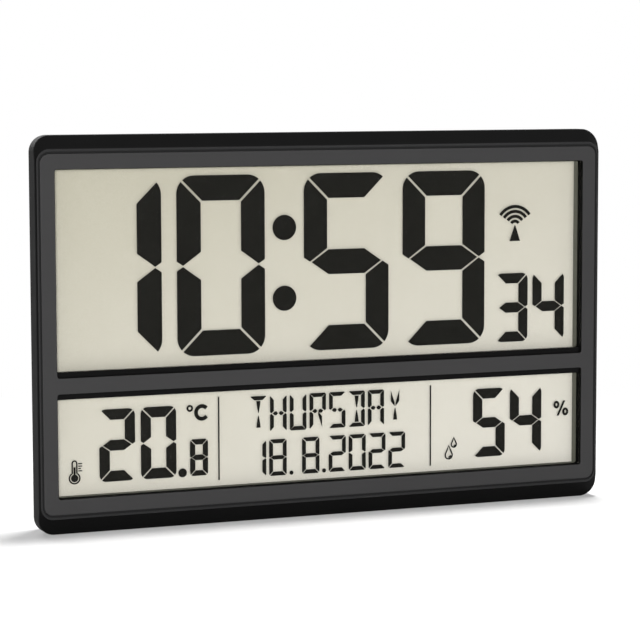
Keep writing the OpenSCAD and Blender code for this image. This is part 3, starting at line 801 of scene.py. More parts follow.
    def finish(self, name: str, finishes: Sequence[Union[Slot, Finish]], slot: Slot | None = None,
               body: str = "case", replaces: Sequence[str] = (), smooth: float = 35.0) -> None:
        """Turn the mesh into a piece of the clock.

        Args:
            name: of the piece.
            finishes: its finishes, by number.
            slot: record slot of its finish, where that isn't the first of them; not used.
            body: the body it rides on.
            replaces: nodes it stands for.
            smooth: largest angle in degrees that is shaded round.
        """
        bmesh.ops.remove_doubles(self.mesh, verts=self.mesh.verts, dist=WELD)
        bmesh.ops.recalc_face_normals(self.mesh, faces=self.mesh.faces)
        data = bpy.data.meshes.new(name)
        self.mesh.to_mesh(data)
        self.mesh.free()
        for finish in finishes:
            data.materials.append(self.palette.material(finish))
        data.polygons.foreach_set("use_smooth", [True] * len(data.polygons))
        data.set_sharp_from_angle(angle=math.radians(smooth))
        piece = placed(name, data)
        even = piece.modifiers.new("even_normals", "WEIGHTED_NORMAL")
        even.weight, even.keep_sharp = NORMAL_WEIGHT, True
        slot = slot or finishes[0]
        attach(piece, body)
        if replaces:
            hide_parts(*replaces)
        LOG.info("piece %s: %d faces on %s", name, len(data.polygons), body)


# Sub-assemblies


@dataclass
class FaceLayout:
    """The face's windows and borders.

    Fields:
        datum: where the front view lies.
        side_border, top_border, bottom_border: of the plate around its windows.
        crossbar: height of the bar between the windows.
        lower_window: height of the lower window.
        plate_radius, window_radius: of the corners.
        divider: how far the black divider stands out beyond the crossbar.
    """

    datum: Datum
    side_border: float = 8.9
    top_border: float = 9.0
    bottom_border: float = 9.1
    crossbar: float = 9.5
    lower_window: float = 62.0
    plate_radius: float = 5.5
    window_radius: float = 1.4
    divider: float = 3.7

    def plate(self) -> RoundRect:
        """Outline of the face plate."""
        return RoundRect(*self.datum.spans("front_frame"), self.plate_radius)

    def windows(self, divider: float = 0.0) -> list[RoundRect]:
        """Lay out the windows.

        Args:
            divider: how far a divider beyond the crossbar stands into both.

        Returns:
            The upper and the lower window.
        """
        left, right, lower, upper = self.datum.spans("front_frame")
        bar_low = lower + self.bottom_border + self.lower_window
        sides = (left + self.side_border, right - self.side_border)
        return [RoundRect(*sides, bar_low + self.crossbar + divider, upper - self.top_border, self.window_radius),
                RoundRect(*sides, lower + self.bottom_border, bar_low - divider, self.window_radius)]


@dataclass
class SubAssembly:
    """Pieces of the clock that belong together.

    Fields:
        datum: where the front view lies.
        palette: the finishes.
    """

    datum: Datum
    palette: Palette

    def start(self, span: Pair = (0.0, 0.0)) -> Workpiece:
        """A new workpiece, with the depths of its flat solids."""
        return Workpiece(self.datum, self.palette, span)

    def build(self) -> None:
        """Make the pieces."""
        raise NotImplementedError


@dataclass
class FacePlate(SubAssembly):
    """Satin plate with two windows.

    Fields:
        layout: of the face.
        edge: radius of its broken edges.
        painted_shade_from: step of an edge from which the windows' walls are black, as painted shade along the
            window edges.
    """

    layout: FaceLayout
    edge: float = 0.45
    painted_shade_from: int = 2

    def build(self) -> None:
        """Make the plate with rounded edges all round, and black walls in its windows as painted shade along their
        edges.
        """
        piece = self.start()
        back = self.datum.depths("front_frame")[1]
        # the inner part of each window's edge and its walls are black: painted shade
        piece.panel(self.layout.plate(), self.layout.windows(), [*rounded_edge(self.edge), (0.0, back)],
                    self.painted_shade_from)
        piece.finish("face_plate", [Slot.SATIN_GREY, Slot.BLACK_FOAM], replaces=["front_frame"])


class ShellPaint(IntEnum):
    """Finishes of the front shell, by number."""

    GLOSS = 0
    LIP = 1
    WALL = 2
    # the groove's walls and floor, in a grey darker than the lip as painted shade
    GROOVE = 3


@dataclass
class FrontShell(SubAssembly):
    """Gloss shell with lip, flanks, side walls and divider.

    Fields:
        layout: of the face.
        groove: width of the groove beside the plate, and above and below it.
        groove_deep: depth of its floor.
        plate_gap: slit between the plate's edge and that floor.
        lip: how far the lip's outer edge lies beside the plate, and above and below it.
        lip_top: depth of the lip's top.
        lip_wall: how far below its top the groove's outer wall ends.
        lip_curve: place across the lip, from 0 to 1, and drop below its top at each step.
        lip_foot: depth where the flank starts.
        flank_shares: places of the steps across the flank, from 0 to 1.
        rim: depth of the flank's outer edge at the sides.
        rim_round: radius of that edge.
        rim_steps: steps around it.
        gloss_steps: how many of them are still gloss.
        lean: how much deeper it gets for each millimetre towards its lower and its upper end.
        lean_reach: how far from the corners that starts.
        corner_radius: of the outline.
        corner_steps: steps around a corner.
        wall: thickness of the walls.
        front: thickness of the wall behind the plate.
        back_bevel: bevel along the back edge.
        window_gap: how far the openings lie outside the windows.
        inner_bevel: height and depth of the bevel along its inner edge above and below.
        smooth: largest angle in degrees that is shaded round.
    """

    layout: FaceLayout
    groove: Pair = (0.9, 1.2)
    groove_deep: float = 0.8
    plate_gap: float = 0.12
    lip: Pair = (2.1, 2.9)
    lip_top: float = 0.2
    lip_wall: float = 0.15
    lip_curve: tuple[Pair, ...] = ((0.05, 0.04), (0.14, 0.0), (0.62, 0.0), (0.8, 0.09))
    lip_foot: float = 0.8
    flank_shares: tuple[float, ...] = (0.25, 0.5, 0.75)
    rim: float = 1.0
    rim_round: float = 0.7
    rim_steps: int = 5
    gloss_steps: int = 2
    lean: Pair = (0.2, 0.285)
    lean_reach: float = 4.0
    corner_radius: float = 10.0
    corner_steps: int = 16
    wall: float = 2.2
    front: float = 2.2
    back_bevel: float = 0.3
    window_gap: float = 0.3
    inner_bevel: Pair = (3.0, 1.6)
    smooth: float = 24.0

    def outline(self) -> RoundRect:
        """Outline of the shell."""
        return RoundRect(*self.datum.spans("front_housing"), self.corner_radius)

    def loop(self, outline: RoundRect) -> list[Point2]:
        """Points around one of the shell's outlines."""
        return outline.loop(self.corner_steps, self.lean_reach)

    def leans(self) -> list[float]:
        """How much deeper the rim lies at each of its points because the flanks lean back."""
        case, start = self.outline(), self.corner_radius + self.lean_reach
        return [self.lean[0] * max(0.0, case.lower + start - z) + self.lean[1] * max(0.0, z - case.upper + start)
                for _, z in self.loop(case)]

    def profile(self) -> list[tuple[RoundRect, float, float, ShellPaint]]:
        """Lay out the shell from the groove round to the inside.

        Returns:
            Outline, depth, share of the lean and finish of each step.
        """
        gloss, lip, wall, groove = ShellPaint
        plate, case = self.layout.plate(), self.outline()
        floor, back = self.datum.depths("front_frame")[1], self.datum.depths("front_housing")[1]
        edge = rounded_edge(self.rim_round, self.rim_steps)[1:]
        brow_inset, brow_sink = edge[0]
        inner, foot, brow = plate.grown(*self.groove), plate.grown(*self.lip), case.grown(-brow_inset)
        slit, fall = plate.grown(self.plate_gap), self.rim + brow_sink - self.lip_foot
        # the groove's floor and walls take the darker grey of painted shade
        steps = [(slit, floor, 0, gloss), (slit, self.groove_deep, 0, groove),
                 (inner, self.groove_deep, 0, groove), (inner, self.lip_top + self.lip_wall, 0, groove)]
        steps += [(inner.towards(foot, share), self.lip_top + drop, 0, lip) for share, drop in self.lip_curve]
        steps.append((foot, self.lip_foot, 0, gloss))
        steps += [(foot.towards(brow, share), self.lip_foot + fall * share, share, gloss)
                  for share in self.flank_shares]
        steps += [(case.grown(-inset), self.rim + drop, 1, gloss if i < self.gloss_steps else wall)
                  for i, (inset, drop) in enumerate(edge)]
        inside, (bevel_high, bevel_deep) = case.grown(-self.wall), self.inner_bevel
        steps += [(case, (self.rim + back) / 2, 0.5, wall), (case, back - self.back_bevel, 0, wall),
                  (case.grown(-self.back_bevel), back, 0, wall), (inside, back, 0, gloss),
                  (inside, floor + self.front + bevel_deep, 0, gloss),
                  (inside.grown(0, -bevel_high), floor + self.front, 0, gloss)]
        return steps

    def build(self) -> None:
        """Make the shell as one closed skin with two openings."""
        piece = self.start()
        steps, leans = self.profile(), self.leans()
        rings = [piece.ring(self.loop(outline), [depth + share * lean for lean in leans])
                 for outline, depth, share, _ in steps]
        piece.loft(rings, [paint for *_, paint in steps[1:]])
        floor = self.datum.depths("front_frame")[1]
        openings = [[piece.ring(w.grown(self.window_gap).loop(WINDOW_STEPS), depth)
                     for depth in (floor, floor + self.front)]
                    for w in self.layout.windows(self.layout.divider)]
        for opening in openings:
            piece.loft(opening)
        piece.cap([rings[0], *(near for near, _ in openings)])
        piece.cap([rings[-1], *(far for _, far in openings)])
        piece.finish("front_shell",
                     [Slot.GLOSS_BLACK, Palette.LIP_SATIN, Palette.WALL_SATIN, Palette.GROOVE_PAINTED_SHADE],
                     replaces=["front_housing"], smooth=self.smooth)


@dataclass
class RecessFrames(SubAssembly):
    """Matt black spacers between shell and glass, which wall the recess of each display.

    Fields:
        layout: of the face.
        beside: how far their openings lie outside the windows at the sides.
        above: how far they do above and below.
        under: how much less than the divider they stand into the windows.
        corner: radius of their outer corners.
    """

    layout: FaceLayout
    beside: float = 0.3
    above: float = 0.05
    under: float = 0.6
    corner: float = 0.6

    def build(self) -> None:
        """Make both spacers in the places of their nodes."""
        windows = self.layout.windows(self.layout.divider - self.under)
        for node, window in zip(("time_gasket", "climate_gasket"), windows):
            piece = self.start()
            piece.panel(RoundRect(*self.datum.spans(node), self.corner), [window.grown(self.beside, self.above)],
                        [(0.0, depth) for depth in self.datum.depths(node)])
            piece.finish(node.replace("gasket", "spacer"), [Slot.BLACK_FOAM], replaces=[node])


@dataclass
class DisplayGlass(SubAssembly):
    """The four panes of the two displays, with seamed edges.

    Fields:
        seam: width of the bevel along a pane's edges.
        clear: gap that keeps a pane off what lies on it.
        corner: radius of a pane's corners.
    """

    seam: float = 0.2
    clear: float = 0.03
    corner: float = 0.4

    def build(self) -> None:
        """Make each pane in the place of its node."""
        for node in ("time_front_glass", "time_rear_glass", "climate_front_glass", "climate_rear_glass"):
            front, back = self.datum.depths(node, self.clear)
            piece = self.start()
            piece.panel(RoundRect(*self.datum.spans(node), self.corner), [],
                        [(self.seam, front), (0.0, front + self.seam), (0.0, back - self.seam), (self.seam, back)])
            piece.finish(node.replace("glass", "pane"), [Slot.DISPLAY_GLASS], replaces=[node])


@dataclass
class Sign(SubAssembly):
    """Dark figures on a display, at the depth of the segments beside them.

    Fields:
        name: of the piece.
        node: those segments.
        clear: how far the figures keep inside the segments' front and back.
    """

    name: str = "sign"
    node: str = "climate_segments"
    clear: float = 0.01

    def draw(self, piece: Workpiece) -> None:
        """Add the figures' solids to the piece."""
        raise NotImplementedError

    def build(self) -> None:
        """Make the piece."""
        piece = self.start(self.datum.depths(self.node, self.clear))
        self.draw(piece)
        piece.finish(self.name, [Slot.SEGMENT_INK])


class Bar(Enum):
    """Bars of a letter cell."""

    TOP = "a"
    UPPER_RIGHT = "b"
    LOWER_RIGHT = "c"
    BOTTOM = "d"
    LOWER_LEFT = "e"
    UPPER_LEFT = "f"
    MIDDLE_LEFT = "g"
    MIDDLE_RIGHT = "m"
    DIAGONAL_UPPER_LEFT = "h"
    CENTRE_UPPER = "i"
    DIAGONAL_UPPER_RIGHT = "j"
    CENTRE_LOWER = "l"
    DIAGONAL_LOWER_RIGHT = "n"


@dataclass
class WeekdayRow(Sign):
    """Letters of the weekday above the date, in cells of fourteen bars.

    Fields:
        day: letters shown, each with its dark bars.
        left: of the first cell.
        pitch: from cell to cell.
        width, height: of a cell.
        base: lower edge.
        stroke: width of a bar.
        gap: between two bars.
        mitre: share of the gap along a bar where two bars meet at a slant.
    """

    name: str = "weekday_letters"
    day: tuple[str, ...] = ("ail", "bcefgm", "bcdef", "abefgmn", "afgmcd", "abcdil", "abcefgm", "hjl")
    left: float = -49.4
    pitch: float = 12.9
    width: float = 10.85
    height: float = 22.2
    base: float = -64.95
    stroke: float = 2.5
    gap: float = 0.45
    mitre: float = 0.7

    def bars(self) -> dict[Bar, list[Point2]]:
        """Draw the bars of a cell.

        Returns:
            Corners of each bar, from the cell's lower left corner.
        """
        # Corners lie some millimetres or bar widths from the cell's edges and middle lines.
        w, h, t, q = self.width, self.height, self.stroke, self.gap * self.mitre
        c, m, thick = w / 2, h / 2, 0.48 * t
        top = [(q + 0.5, h), (w - q - 0.5, h), (w - q - 0.1, h - 0.45), (w - t - q, h - t), (t + q, h - t),
               (q + 0.1, h - 0.45)]
        left = [(0, h - q - 0.5), (0.4, h - q - 0.2), (t, h - t - q), (t, m + 0.6 * t), (0.35 * t, m + q / 2),
                (0, m + 0.35 * t)]
        middle = [(0.5 * t + self.gap, m), (t + q + 0.3, m + thick), (c - q - 0.9, m + thick), (c - q, m + 0.1),
                  (c - q, m - 0.1), (c - q - 0.9, m - thick), (t + q + 0.3, m - thick)]
        centre = [(c - 0.54 * t, h - t - self.gap), (c + 0.54 * t, h - t - self.gap), (c + 0.42 * t, m + 2.2 * t),
                  (c + 0.1 * t, m + 0.35 * t), (c - 0.1 * t, m + 0.35 * t), (c - 0.42 * t, m + 2.2 * t)]
        slant = [(t + 0.1, h - 0.4 * t), (t + 0.1, m + 1.35 * t), (c - 0.12 * t, m + 0.1 * t),
                 (c - 0.12 * t, m + 0.95 * t)]

        def across(points: list[Point2]) -> list[Point2]:
            """Mirror left to right."""
            return [(w - x, z) for x, z in reversed(points)]

        def over(points: list[Point2]) -> list[Point2]:
            """Mirror top to bottom."""
            return [(x, h - z) for x, z in reversed(points)]

        return {
            Bar.TOP: top, Bar.BOTTOM: over(top), Bar.UPPER_LEFT: left, Bar.UPPER_RIGHT: across(left),
            Bar.LOWER_LEFT: over(left), Bar.LOWER_RIGHT: across(over(left)), Bar.MIDDLE_LEFT: middle,
            Bar.MIDDLE_RIGHT: across(middle), Bar.CENTRE_UPPER: centre, Bar.CENTRE_LOWER: over(centre),
            Bar.DIAGONAL_UPPER_LEFT: slant, Bar.DIAGONAL_UPPER_RIGHT: across(slant),
            Bar.DIAGONAL_LOWER_RIGHT: across(over(slant)),
        }

    def draw(self, piece: Workpiece) -> None:
        """Add the dark bars of each letter.

        Args:
            piece: the mesh they go into.
        """
        bars = self.bars()
        for i, letter in enumerate(self.day):
            for sign in letter:
                piece.prism([(self.left + i * self.pitch + x, self.base + z) for x, z in bars[Bar(sign)]])


@dataclass
class ReceptionSign(Sign):
    """A mast with waves above it.

    Fields:
        foot: middle of the mast's foot.
        half_widths: of the mast, at its foot and at its top.
        high: height of the mast.
        waves: radius of each wave and half of its angle in degrees.
        waves_up: height of the waves' centre above the foot.
        line: width of a wave.
    """

    name: str = "reception_sign"
    node: str = "time_segments"
    foot: Point2 = (128.3, 46.6)
    half_widths: Pair = (3.65, 0.3)
    high: float = 9.8
    waves: tuple[Pair, ...] = ((12.35, 55), (9.3, 55), (6.2, 54), (3.15, 54))
    waves_up: float = 9.3
    line: float = 1.95

    def draw(self, piece: Workpiece) -> None:
        """Add the mast and its waves.

        Args:
            piece: the mesh they go into.
        """
        x, z = self.foot
        wide, narrow = self.half_widths
        piece.prism([(x - wide, z), (x + wide, z), (x + narrow, z + self.high), (x - narrow, z + self.high)])
        for radius, half in self.waves:
            piece.stroke(arc(x, z + self.waves_up, radius, 90 - half, 90 + half, 22), self.line)


@dataclass
class ThermometerSign(Sign):
    """An outlined thermometer with its column and scale.

    Fields:
        bulb: centre of the bulb.
        ring: radius of the bulb's outline.
        core: radius of the dark bulb.
        tube: half width of the tube's outline, and height of its round end above the bulb.
        line: width of the outline.
        column: half width of the column, and heights of its ends above the bulb's centre.
        marks: height and length of each mark of the scale.
        marks_from: where the marks start beside the bulb's centre.
        mark_half: half width of a mark.
    """

    name: str = "thermometer_sign"
    bulb: Point2 = (-159.7, -85.65)
    ring: float = 3.2
    core: float = 2.25
    tube: Pair = (1.4, 8.9)
    line: float = 0.85
    column: tuple[float, float, float] = (0.62, 1.9, 6.6)
    marks: tuple[Pair, ...] = ((4.3, 2.4), (5.75, 1.6), (7.1, 2.4), (8.6, 2.4))
    marks_from: float = 2.3
    mark_half: float = 0.33

    def draw(self, piece: Workpiece) -> None:
        """Add outline, bulb, column and scale.

        Args:
            piece: the mesh they go into.
        """
        x, z = self.bulb
        half, top = self.tube
        open_at = math.degrees(math.acos(half / self.ring))
        outline = arc(x, z, self.ring, 180 - open_at, 360 + open_at, 28) + arc(x, z + top, half, 0, 180, 10)
        piece.stroke(outline, self.line, closed=True)
        piece.prism(circle(x, z, self.core))
        half, low, high = self.column
        piece.prism(rectangle(x - half, x + half, z + low, z + high))
        start = x + self.marks_from
        for rise, length in self.marks:
            piece.prism(rectangle(start, start + length, z + rise - self.mark_half, z + rise + self.mark_half))


@dataclass
class DegreeSign(Sign):
    """A ring and an open round letter.

    Fields:
        ring: centre of the ring.
        ring_radius, ring_line: its radius and the width of its line.
        letter: centre of the letter.
        letter_radii: its radii along x and z.
        letter_ends: angles in degrees where it starts and ends.
        letter_line: width of its line.
    """

    name: str = "degree_sign"
    ring: Point2 = (-87.8, -47.9)
    ring_radius: float = 1.5
    ring_line: float = 1.2
    letter: Point2 = (-80.15, -50.7)
    letter_radii: Pair = (3.75, 3.85)
    letter_ends: Pair = (40, 322)
    letter_line: float = 2.35

    def draw(self, piece: Workpiece) -> None:
        """Add the ring and the letter."""
        piece.stroke(circle(*self.ring, self.ring_radius), self.ring_line, closed=True)
        piece.stroke(arc(*self.letter, self.letter_radii, *self.letter_ends, 26), self.letter_line)


@dataclass
class DropSigns(Sign):
    """Two outlined drops, each with a dark side. All but places and line width is in radii of a drop.

    Fields:
        drops: lowest point and radius of each drop.
        line: width of the outline.
        round_ends: angles in degrees where the round part starts and ends.
        shoulder: place of the outline's shoulder from the round part's centre.
        tip: height of the tip above that centre.
        shade_ends: angles in degrees where the dark side starts and ends.
        shade: radius and width of the dark side.
    """

    name: str = "drop_signs"
    drops: tuple[tuple[float, float, float], ...] = ((83.0, -88.9, 2.4), (86.5, -81.7, 1.75))
    line: float = 0.82
    round_ends: Pair = (155, 385)
    shoulder: Point2 = (0.45, 1.45)
    tip: float = 2.55
    shade_ends: Pair = (262, 355)
    shade: Pair = (0.55, 0.45)

    def draw(self, piece: Workpiece) -> None:
        """Add both drops.

        Args:
            piece: the mesh they go into.
        """
        for x, z, size in self.drops:
            middle = z + size
            across, up = (share * size for share in self.shoulder)
            point = [(x + across, middle + up), (x, middle + self.tip * size), (x - across, middle + up)]
            piece.stroke(arc(x, middle, size, *self.round_ends, 20) + point, self.line, closed=True)
            radius, width = (share * size for share in self.shade)
            piece.stroke(arc(x, middle, radius, *self.shade_ends, 8), width)


@dataclass
class PercentSign(Sign):
    """Two rings and a slanting stroke.

    Fields:
        corner: lower left corner of the sign.
        rings: centre of each ring from that corner, and its radii along x and z.
        line: width of a ring's line.
        slash: corners of the stroke.
    """

    name: str = "percent_sign"
    corner: Point2 = (156.4, -65.7)
    rings: tuple[tuple[float, float, Pair], ...] = ((2.05, 7.1, (1.35, 1.7)), (8.35, 2.4, (1.4, 1.8)))
    line: float = 1.5
    slash: tuple[Point2, ...] = ((2.2, 0.0), (3.7, 0.0), (8.3, 9.5), (6.8, 9.5))

    def draw(self, piece: Workpiece) -> None:
        """Add the rings and the stroke.

        Args:
            piece: the mesh they go into.
        """
        x, z = self.corner
        for right, up, radii in self.rings:
            piece.stroke(circle(x + right, z + up, radii), self.line, closed=True)
        piece.prism([(x + right, z + up) for right, up in self.slash])


@dataclass
class CaseScrews(SubAssembly):
    """Screws with round heads and a cross recess painted dark as shade, in the wells of the rear cover.

    Fields:
        columns: places across the clock.
        head: radius of a head.
        high: height of a head.
        edge: radius of its rounded edge.
        arm: half length and half width of the cross.
        taper: size of the cross at its floor, as a share of its size at the top.
        sunk: depth of the cross.
        shank: radius of the shank.
        point: radius of the shank's end, and length of the taper towards it.
        steps: pieces around a screw.
    """

    columns: tuple[float, ...] = (-158.0, -56.0, 56.0, 158.0)
    head: float = 2.8
    high: float = 2.2
    edge: float = 0.9
    arm: Pair = (1.75, 0.42)
    taper: float = 0.6
    sunk: float = 1.2
    shank: float = 1.5
    point: Pair = (0.4, 1.6)
    steps: int = 28

    def cross(self, x: float, z: float, scale: float = 1.0) -> list[Point2]:
        """Draw the cross.

        Args:
            x, z: its middle.
            scale: its size as a share of the full size.

        Returns:
            Its outline.
        """
        long, wide = (a * scale for a in self.arm)
        quarter = ((long, wide), (wide, wide), (wide, long))
        turns = ((1, 0), (0, 1), (-1, 0), (0, -1))
        return [(x + u * c - v * s, z + u * s + v * c) for c, s in turns for u, v in quarter]

    def build(self) -> None:
        """Make all screws as one piece."""
        piece = self.start()
        tip, top = self.datum.depths("case_screws")
        _, _, lower, upper = self.datum.spans("case_screws")
        base = top - self.high
        point, point_long = self.point
        profile = [(point, tip), (self.shank, tip + point_long), (self.shank, base), (self.head, base),
                   *wall_edge(self.head, top, self.edge)]
        for x in self.columns:
            for z in (lower + self.head, upper - self.head):
                rim = piece.turned(x, z, profile, self.steps)
                # the cross recess takes the dark steel of painted shade
                piece.cap([rim, piece.pit(self.cross(x, z), self.cross(x, z, self.taper), top, self.sunk, 1)])
        piece.finish("case_screw_set", [Slot.SCREW_STEEL, Palette.RECESS_PAINTED_SHADE], replaces=["case_screws"])


@dataclass
class SettingButtons(SubAssembly):
    """Rubber buttons with rounded, dished caps, each on its own body.

    Fields:
        bodies: body of each button.
        cap: radius of a cap.
        stem: radius of the stem on the switch.
        flange: depths of the flange below a cap's top.
        edge: radius of the cap's edge.
        edge_steps: steps around that edge.
        dish: depth of the dish.
        dish_shares: places of the dish's steps, in radii of the cap.
        dish_from: where the dish starts, in radii of the cap.
        steps: pieces around a button.
    """

    bodies: tuple[tuple[str, str], ...] = (
        ("set_button", "key_set"), ("plus_button", "key_plus"), ("minus_button", "key_minus"),
        ("unit_button", "key_unit"), ("wave_button", "key_wave"))
    cap: float = 4.0
    stem: float = 2.0
    flange: Pair = (3.5, 2.0)
    edge: float = 0.6
    edge_steps: int = 5
    dish: float = 0.3
    dish_shares: tuple[float, ...] = (0.7, 0.5, 0.3, 0.1)
    dish_from: float = 0.82
    steps: int = 36

    def build(self) -> None:
        """Make each button in the place of its node."""
        for node, body in self.bodies:
            left, right, lower, upper = self.datum.spans(node)
            foot, top = self.datum.depths(node)
            wide = (right - left) / 2
            low, high = (top - f for f in self.flange)
            profile = [(self.stem, foot), (self.stem, low), (wide, low), (wide, high), (self.cap, high),
                       *wall_edge(self.cap, top, self.edge, self.edge_steps)]
            profile += [(self.cap * share, top - self.dish * (1 - (share / self.dish_from) ** 2))
                        for share in self.dish_shares]
            piece = self.start()
            piece.cap([piece.turned((left + right) / 2, (lower + upper) / 2, profile, self.steps)])
            piece.finish(node.replace("button", "cap"), [Slot.BUTTON_GREY], body=body, replaces=[node])


@dataclass
class ButtonSigns(SubAssembly):
    """Printed signs below the buttons, drawn to be read from behind.

    Fields:
        words: signs of each button.
        field_deep: depth of the field's floor.
        below: how far a sign's middle lies below its button.
        tall, wide: height and width of a letter.
        spare: how much a plus or minus stands out on each side beyond that width.
        pitch: from letter to letter.
        narrow: signs with less pitch.
        narrow_share: that pitch, as a share of the full one.
        bearing: shift of the first letter.
        line: width of a line.
        print_high: thickness of the print.
        print_sunk: how far it reaches into the floor.
    """

    words: tuple[tuple[str, str], ...] = (
        ("set_button", "SET"), ("plus_button", "+"), ("minus_button", "-"), ("unit_button", "oC/oF"),
        ("wave_button", "y"))
    field_deep: float = 27.4
    below: float = 6.5
    tall: float = 2.7
    wide: float = 1.6
    spare: float = 0.3
    pitch: float = 2.35
    narrow: str = "o/"
    narrow_share: float = 0.6
    bearing: float = 0.35
    line: float = 0.5
    print_high: float = 0.04
    print_sunk: float = 0.01

    def letters(self) -> dict[str, list[list[Point2]]]:
        """Draw the letters and signs.

        Returns:
            Lines of each one, from its lower left corner.
        """
        # Points are in millimetres, or in shares of a letter's height and width.
        h, w, spare = self.tall, self.wide, self.spare
        m, c = h / 2, w / 2
        ring = circle(0.5, h - 0.35, 0.4, 12)
        stub, dash = [(0, m), (w * 0.85, m)], [(0, m), (w + 2 * spare, m)]
        return {
            "S": [arc(c, h * 0.73, (c, h * 0.27), 35, 270, 14) + arc(c, h * 0.25, (c, h * 0.25), 80, -145, 14)],
            "E": [[(w, h), (0, h), (0, 0), (w, 0)], stub],
            "T": [[(0, h), (w, h)], [(c, h), (c, 0)]],
            "C": [arc(c, m, (c, m), 50, 310, 18)],
            "F": [[(w, h), (0, h), (0, 0)], stub],
            "/": [[(0.15, -0.2), (w - 0.15, h + 0.2)]],
            "o": [ring + ring[:1]],
            "+": [dash, [(c + spare, m - c - spare), (c + spare, m + c + spare)]],
            "-": [dash],
            "y": [arc(c, 1.1, radius, 45, 135, 10) for radius in (0.8, 1.5, 2.2)] + [[(c, 0), (c, 1.2)]],
        }

    def build(self) -> None:
        """Print each sign on the floor of the button field."""
        piece = self.start((self.field_deep - self.print_sunk, self.field_deep + self.print_high))
        letters = self.letters()
        for node, word in self.words:
            left, right, lower, upper = self.datum.spans(node)
            steps = [self.narrow_share * self.pitch if sign in self.narrow else self.pitch for sign in word]
            start = -sum(steps) / 2 + self.bearing
            base = (lower + upper) / 2 - self.below - self.tall / 2
            for i, sign in enumerate(word):
                shift = start + sum(steps[:i])
                for line in letters[sign]:
                    piece.stroke([((left + right) / 2 - shift - u, base + v) for u, v in line], self.line)
        piece.finish("button_signs", [Palette.MARK_WHITE], Slot.CARRIER_WHITE)


@dataclass
class BatteryDoor(SubAssembly):
    """Sliding door with rounded edges, grip grooves and a sunk arrow.

    Fields:
        half_width: half of the door's width between its rails.
        corner: radius of its corners.
        edge: radius of its outer edges.
        rail_high: thickness of the rails.
        rail_lap: how far they reach under the door.
        groove: half length and half width of a grip groove.
        groove_corner: radius of its ends.
        groove_deep: its depth.
        first_groove: height of the lowest groove above the door's lower edge.
        groove_pitch: from groove to groove.
        grooves: how many there are.
        arrow_up: height of the arrow's tip above the door's lower edge.
        arrow_head: half width and length of its head.
        arrow_shaft: half width of its shaft, and the shaft's end above the tip.
        arrow_draw: how far tip and barbs draw in for each millimetre of inset.
        arrow_deep: its depth.
        slope: how much smaller grooves and arrow are at their floors.
    """

    half_width: float = 30.75
    corner: float = 0.8
    edge: float = 0.35
    rail_high: float = 0.6
    rail_lap: float = 0.2
    groove: Pair = (10.0, 0.65)
    groove_corner: float = 0.5
    groove_deep: float = 0.5
    first_groove: float = 8.0
    groove_pitch: float = 2.6
    grooves: int = 5
    arrow_up: float = 23.5
    arrow_head: Pair = (4.2, 4.6)
    arrow_shaft: Pair = (1.5, 10.0)
    arrow_draw: Pair = (1.4, 2.4)
    arrow_deep: float = 0.4
    slope: float = 0.15

    def arrow(self, z: float, inset: float = 0.0) -> list[Point2]:
        """Draw an arrow that points down the slide.

        Args:
            z: place of its tip.
            inset: how far its outline is drawn in.

        Returns:
            Its outline.
        """
        (head_wide, head_long), (wide, end), (tip, barb) = self.arrow_head, self.arrow_shaft, self.arrow_draw
        half = [(0.0, tip * inset), (head_wide - barb * inset, head_long - inset),
                (wide - inset, head_long - inset), (wide - inset, end - inset)]
        return [(x, z + v) for x, v in half] + [(-x, z + v) for x, v in reversed(half[1:])]

    def build(self) -> None:
        """Make the door in the place of its node."""
        inner, outer = self.datum.depths("battery_door")
        left, right, lower, upper = self.datum.spans("battery_door")
        plate = RoundRect(-self.half_width, self.half_width, lower, upper, self.corner)
        piece = self.start((inner, inner + self.rail_high))
        rings = [piece.ring(plate.grown(margin).loop(WINDOW_STEPS), depth)
                 for margin, depth in [(0.0, inner), *wall_edge(0.0, outer, self.edge)]]
        piece.loft(rings)
        piece.cap([rings[0]])
        long, wide = self.groove
        holes = []
        for i in range(self.grooves):
            middle = lower + self.first_groove + i * self.groove_pitch
            mouth = RoundRect(-long, long, middle - wide, middle + wide, self.groove_corner)
            outlines = [shape.loop(GROOVE_STEPS) for shape in (mouth, mouth.grown(-self.slope))]
            holes.append(piece.pit(*outlines, outer, self.groove_deep))
        tip = lower + self.arrow_up
        holes.append(piece.pit(self.arrow(tip), self.arrow(tip, self.slope), outer, self.arrow_deep))
        piece.cap([rings[-1], *holes])
        lap = self.half_width - self.rail_lap
        for rail in ((left, -lap), (lap, right)):
            piece.prism(rectangle(*rail, lower, upper))
        piece.finish("sliding_door", [Slot.BACK_BLACK], body="door", replaces=["battery_door"])


# Studio


@dataclass(frozen=True)
class Lamp:
    """A soft square lamp, turned to the middle of the face.

    Fields:
        name: of the lamp.
        x, z: its place on the front view, in millimetres.
        out: how far it stands in front of the face, in millimetres.
        size: edge of the lamp, in metres.
        watts: its power.
    """

    name: str
    x: float
    z: float
    out: float
    size: float
    watts: float

    def hang(self, datum: Datum) -> None:
        """Put the lamp into the scene.

        Args:
            datum: where the front view lies.
        """
        light = bpy.data.lights.new(self.name, "AREA")
        light.energy, light.size = self.watts, self.size
        lamp = placed(self.name, light)
        lamp.location = datum.at(self.x, self.z, -self.out)
        aim = datum.at(0, 0, 0) - lamp.location
        lamp.rotation_euler = aim.to_track_quat("-Z", "Y").to_euler()


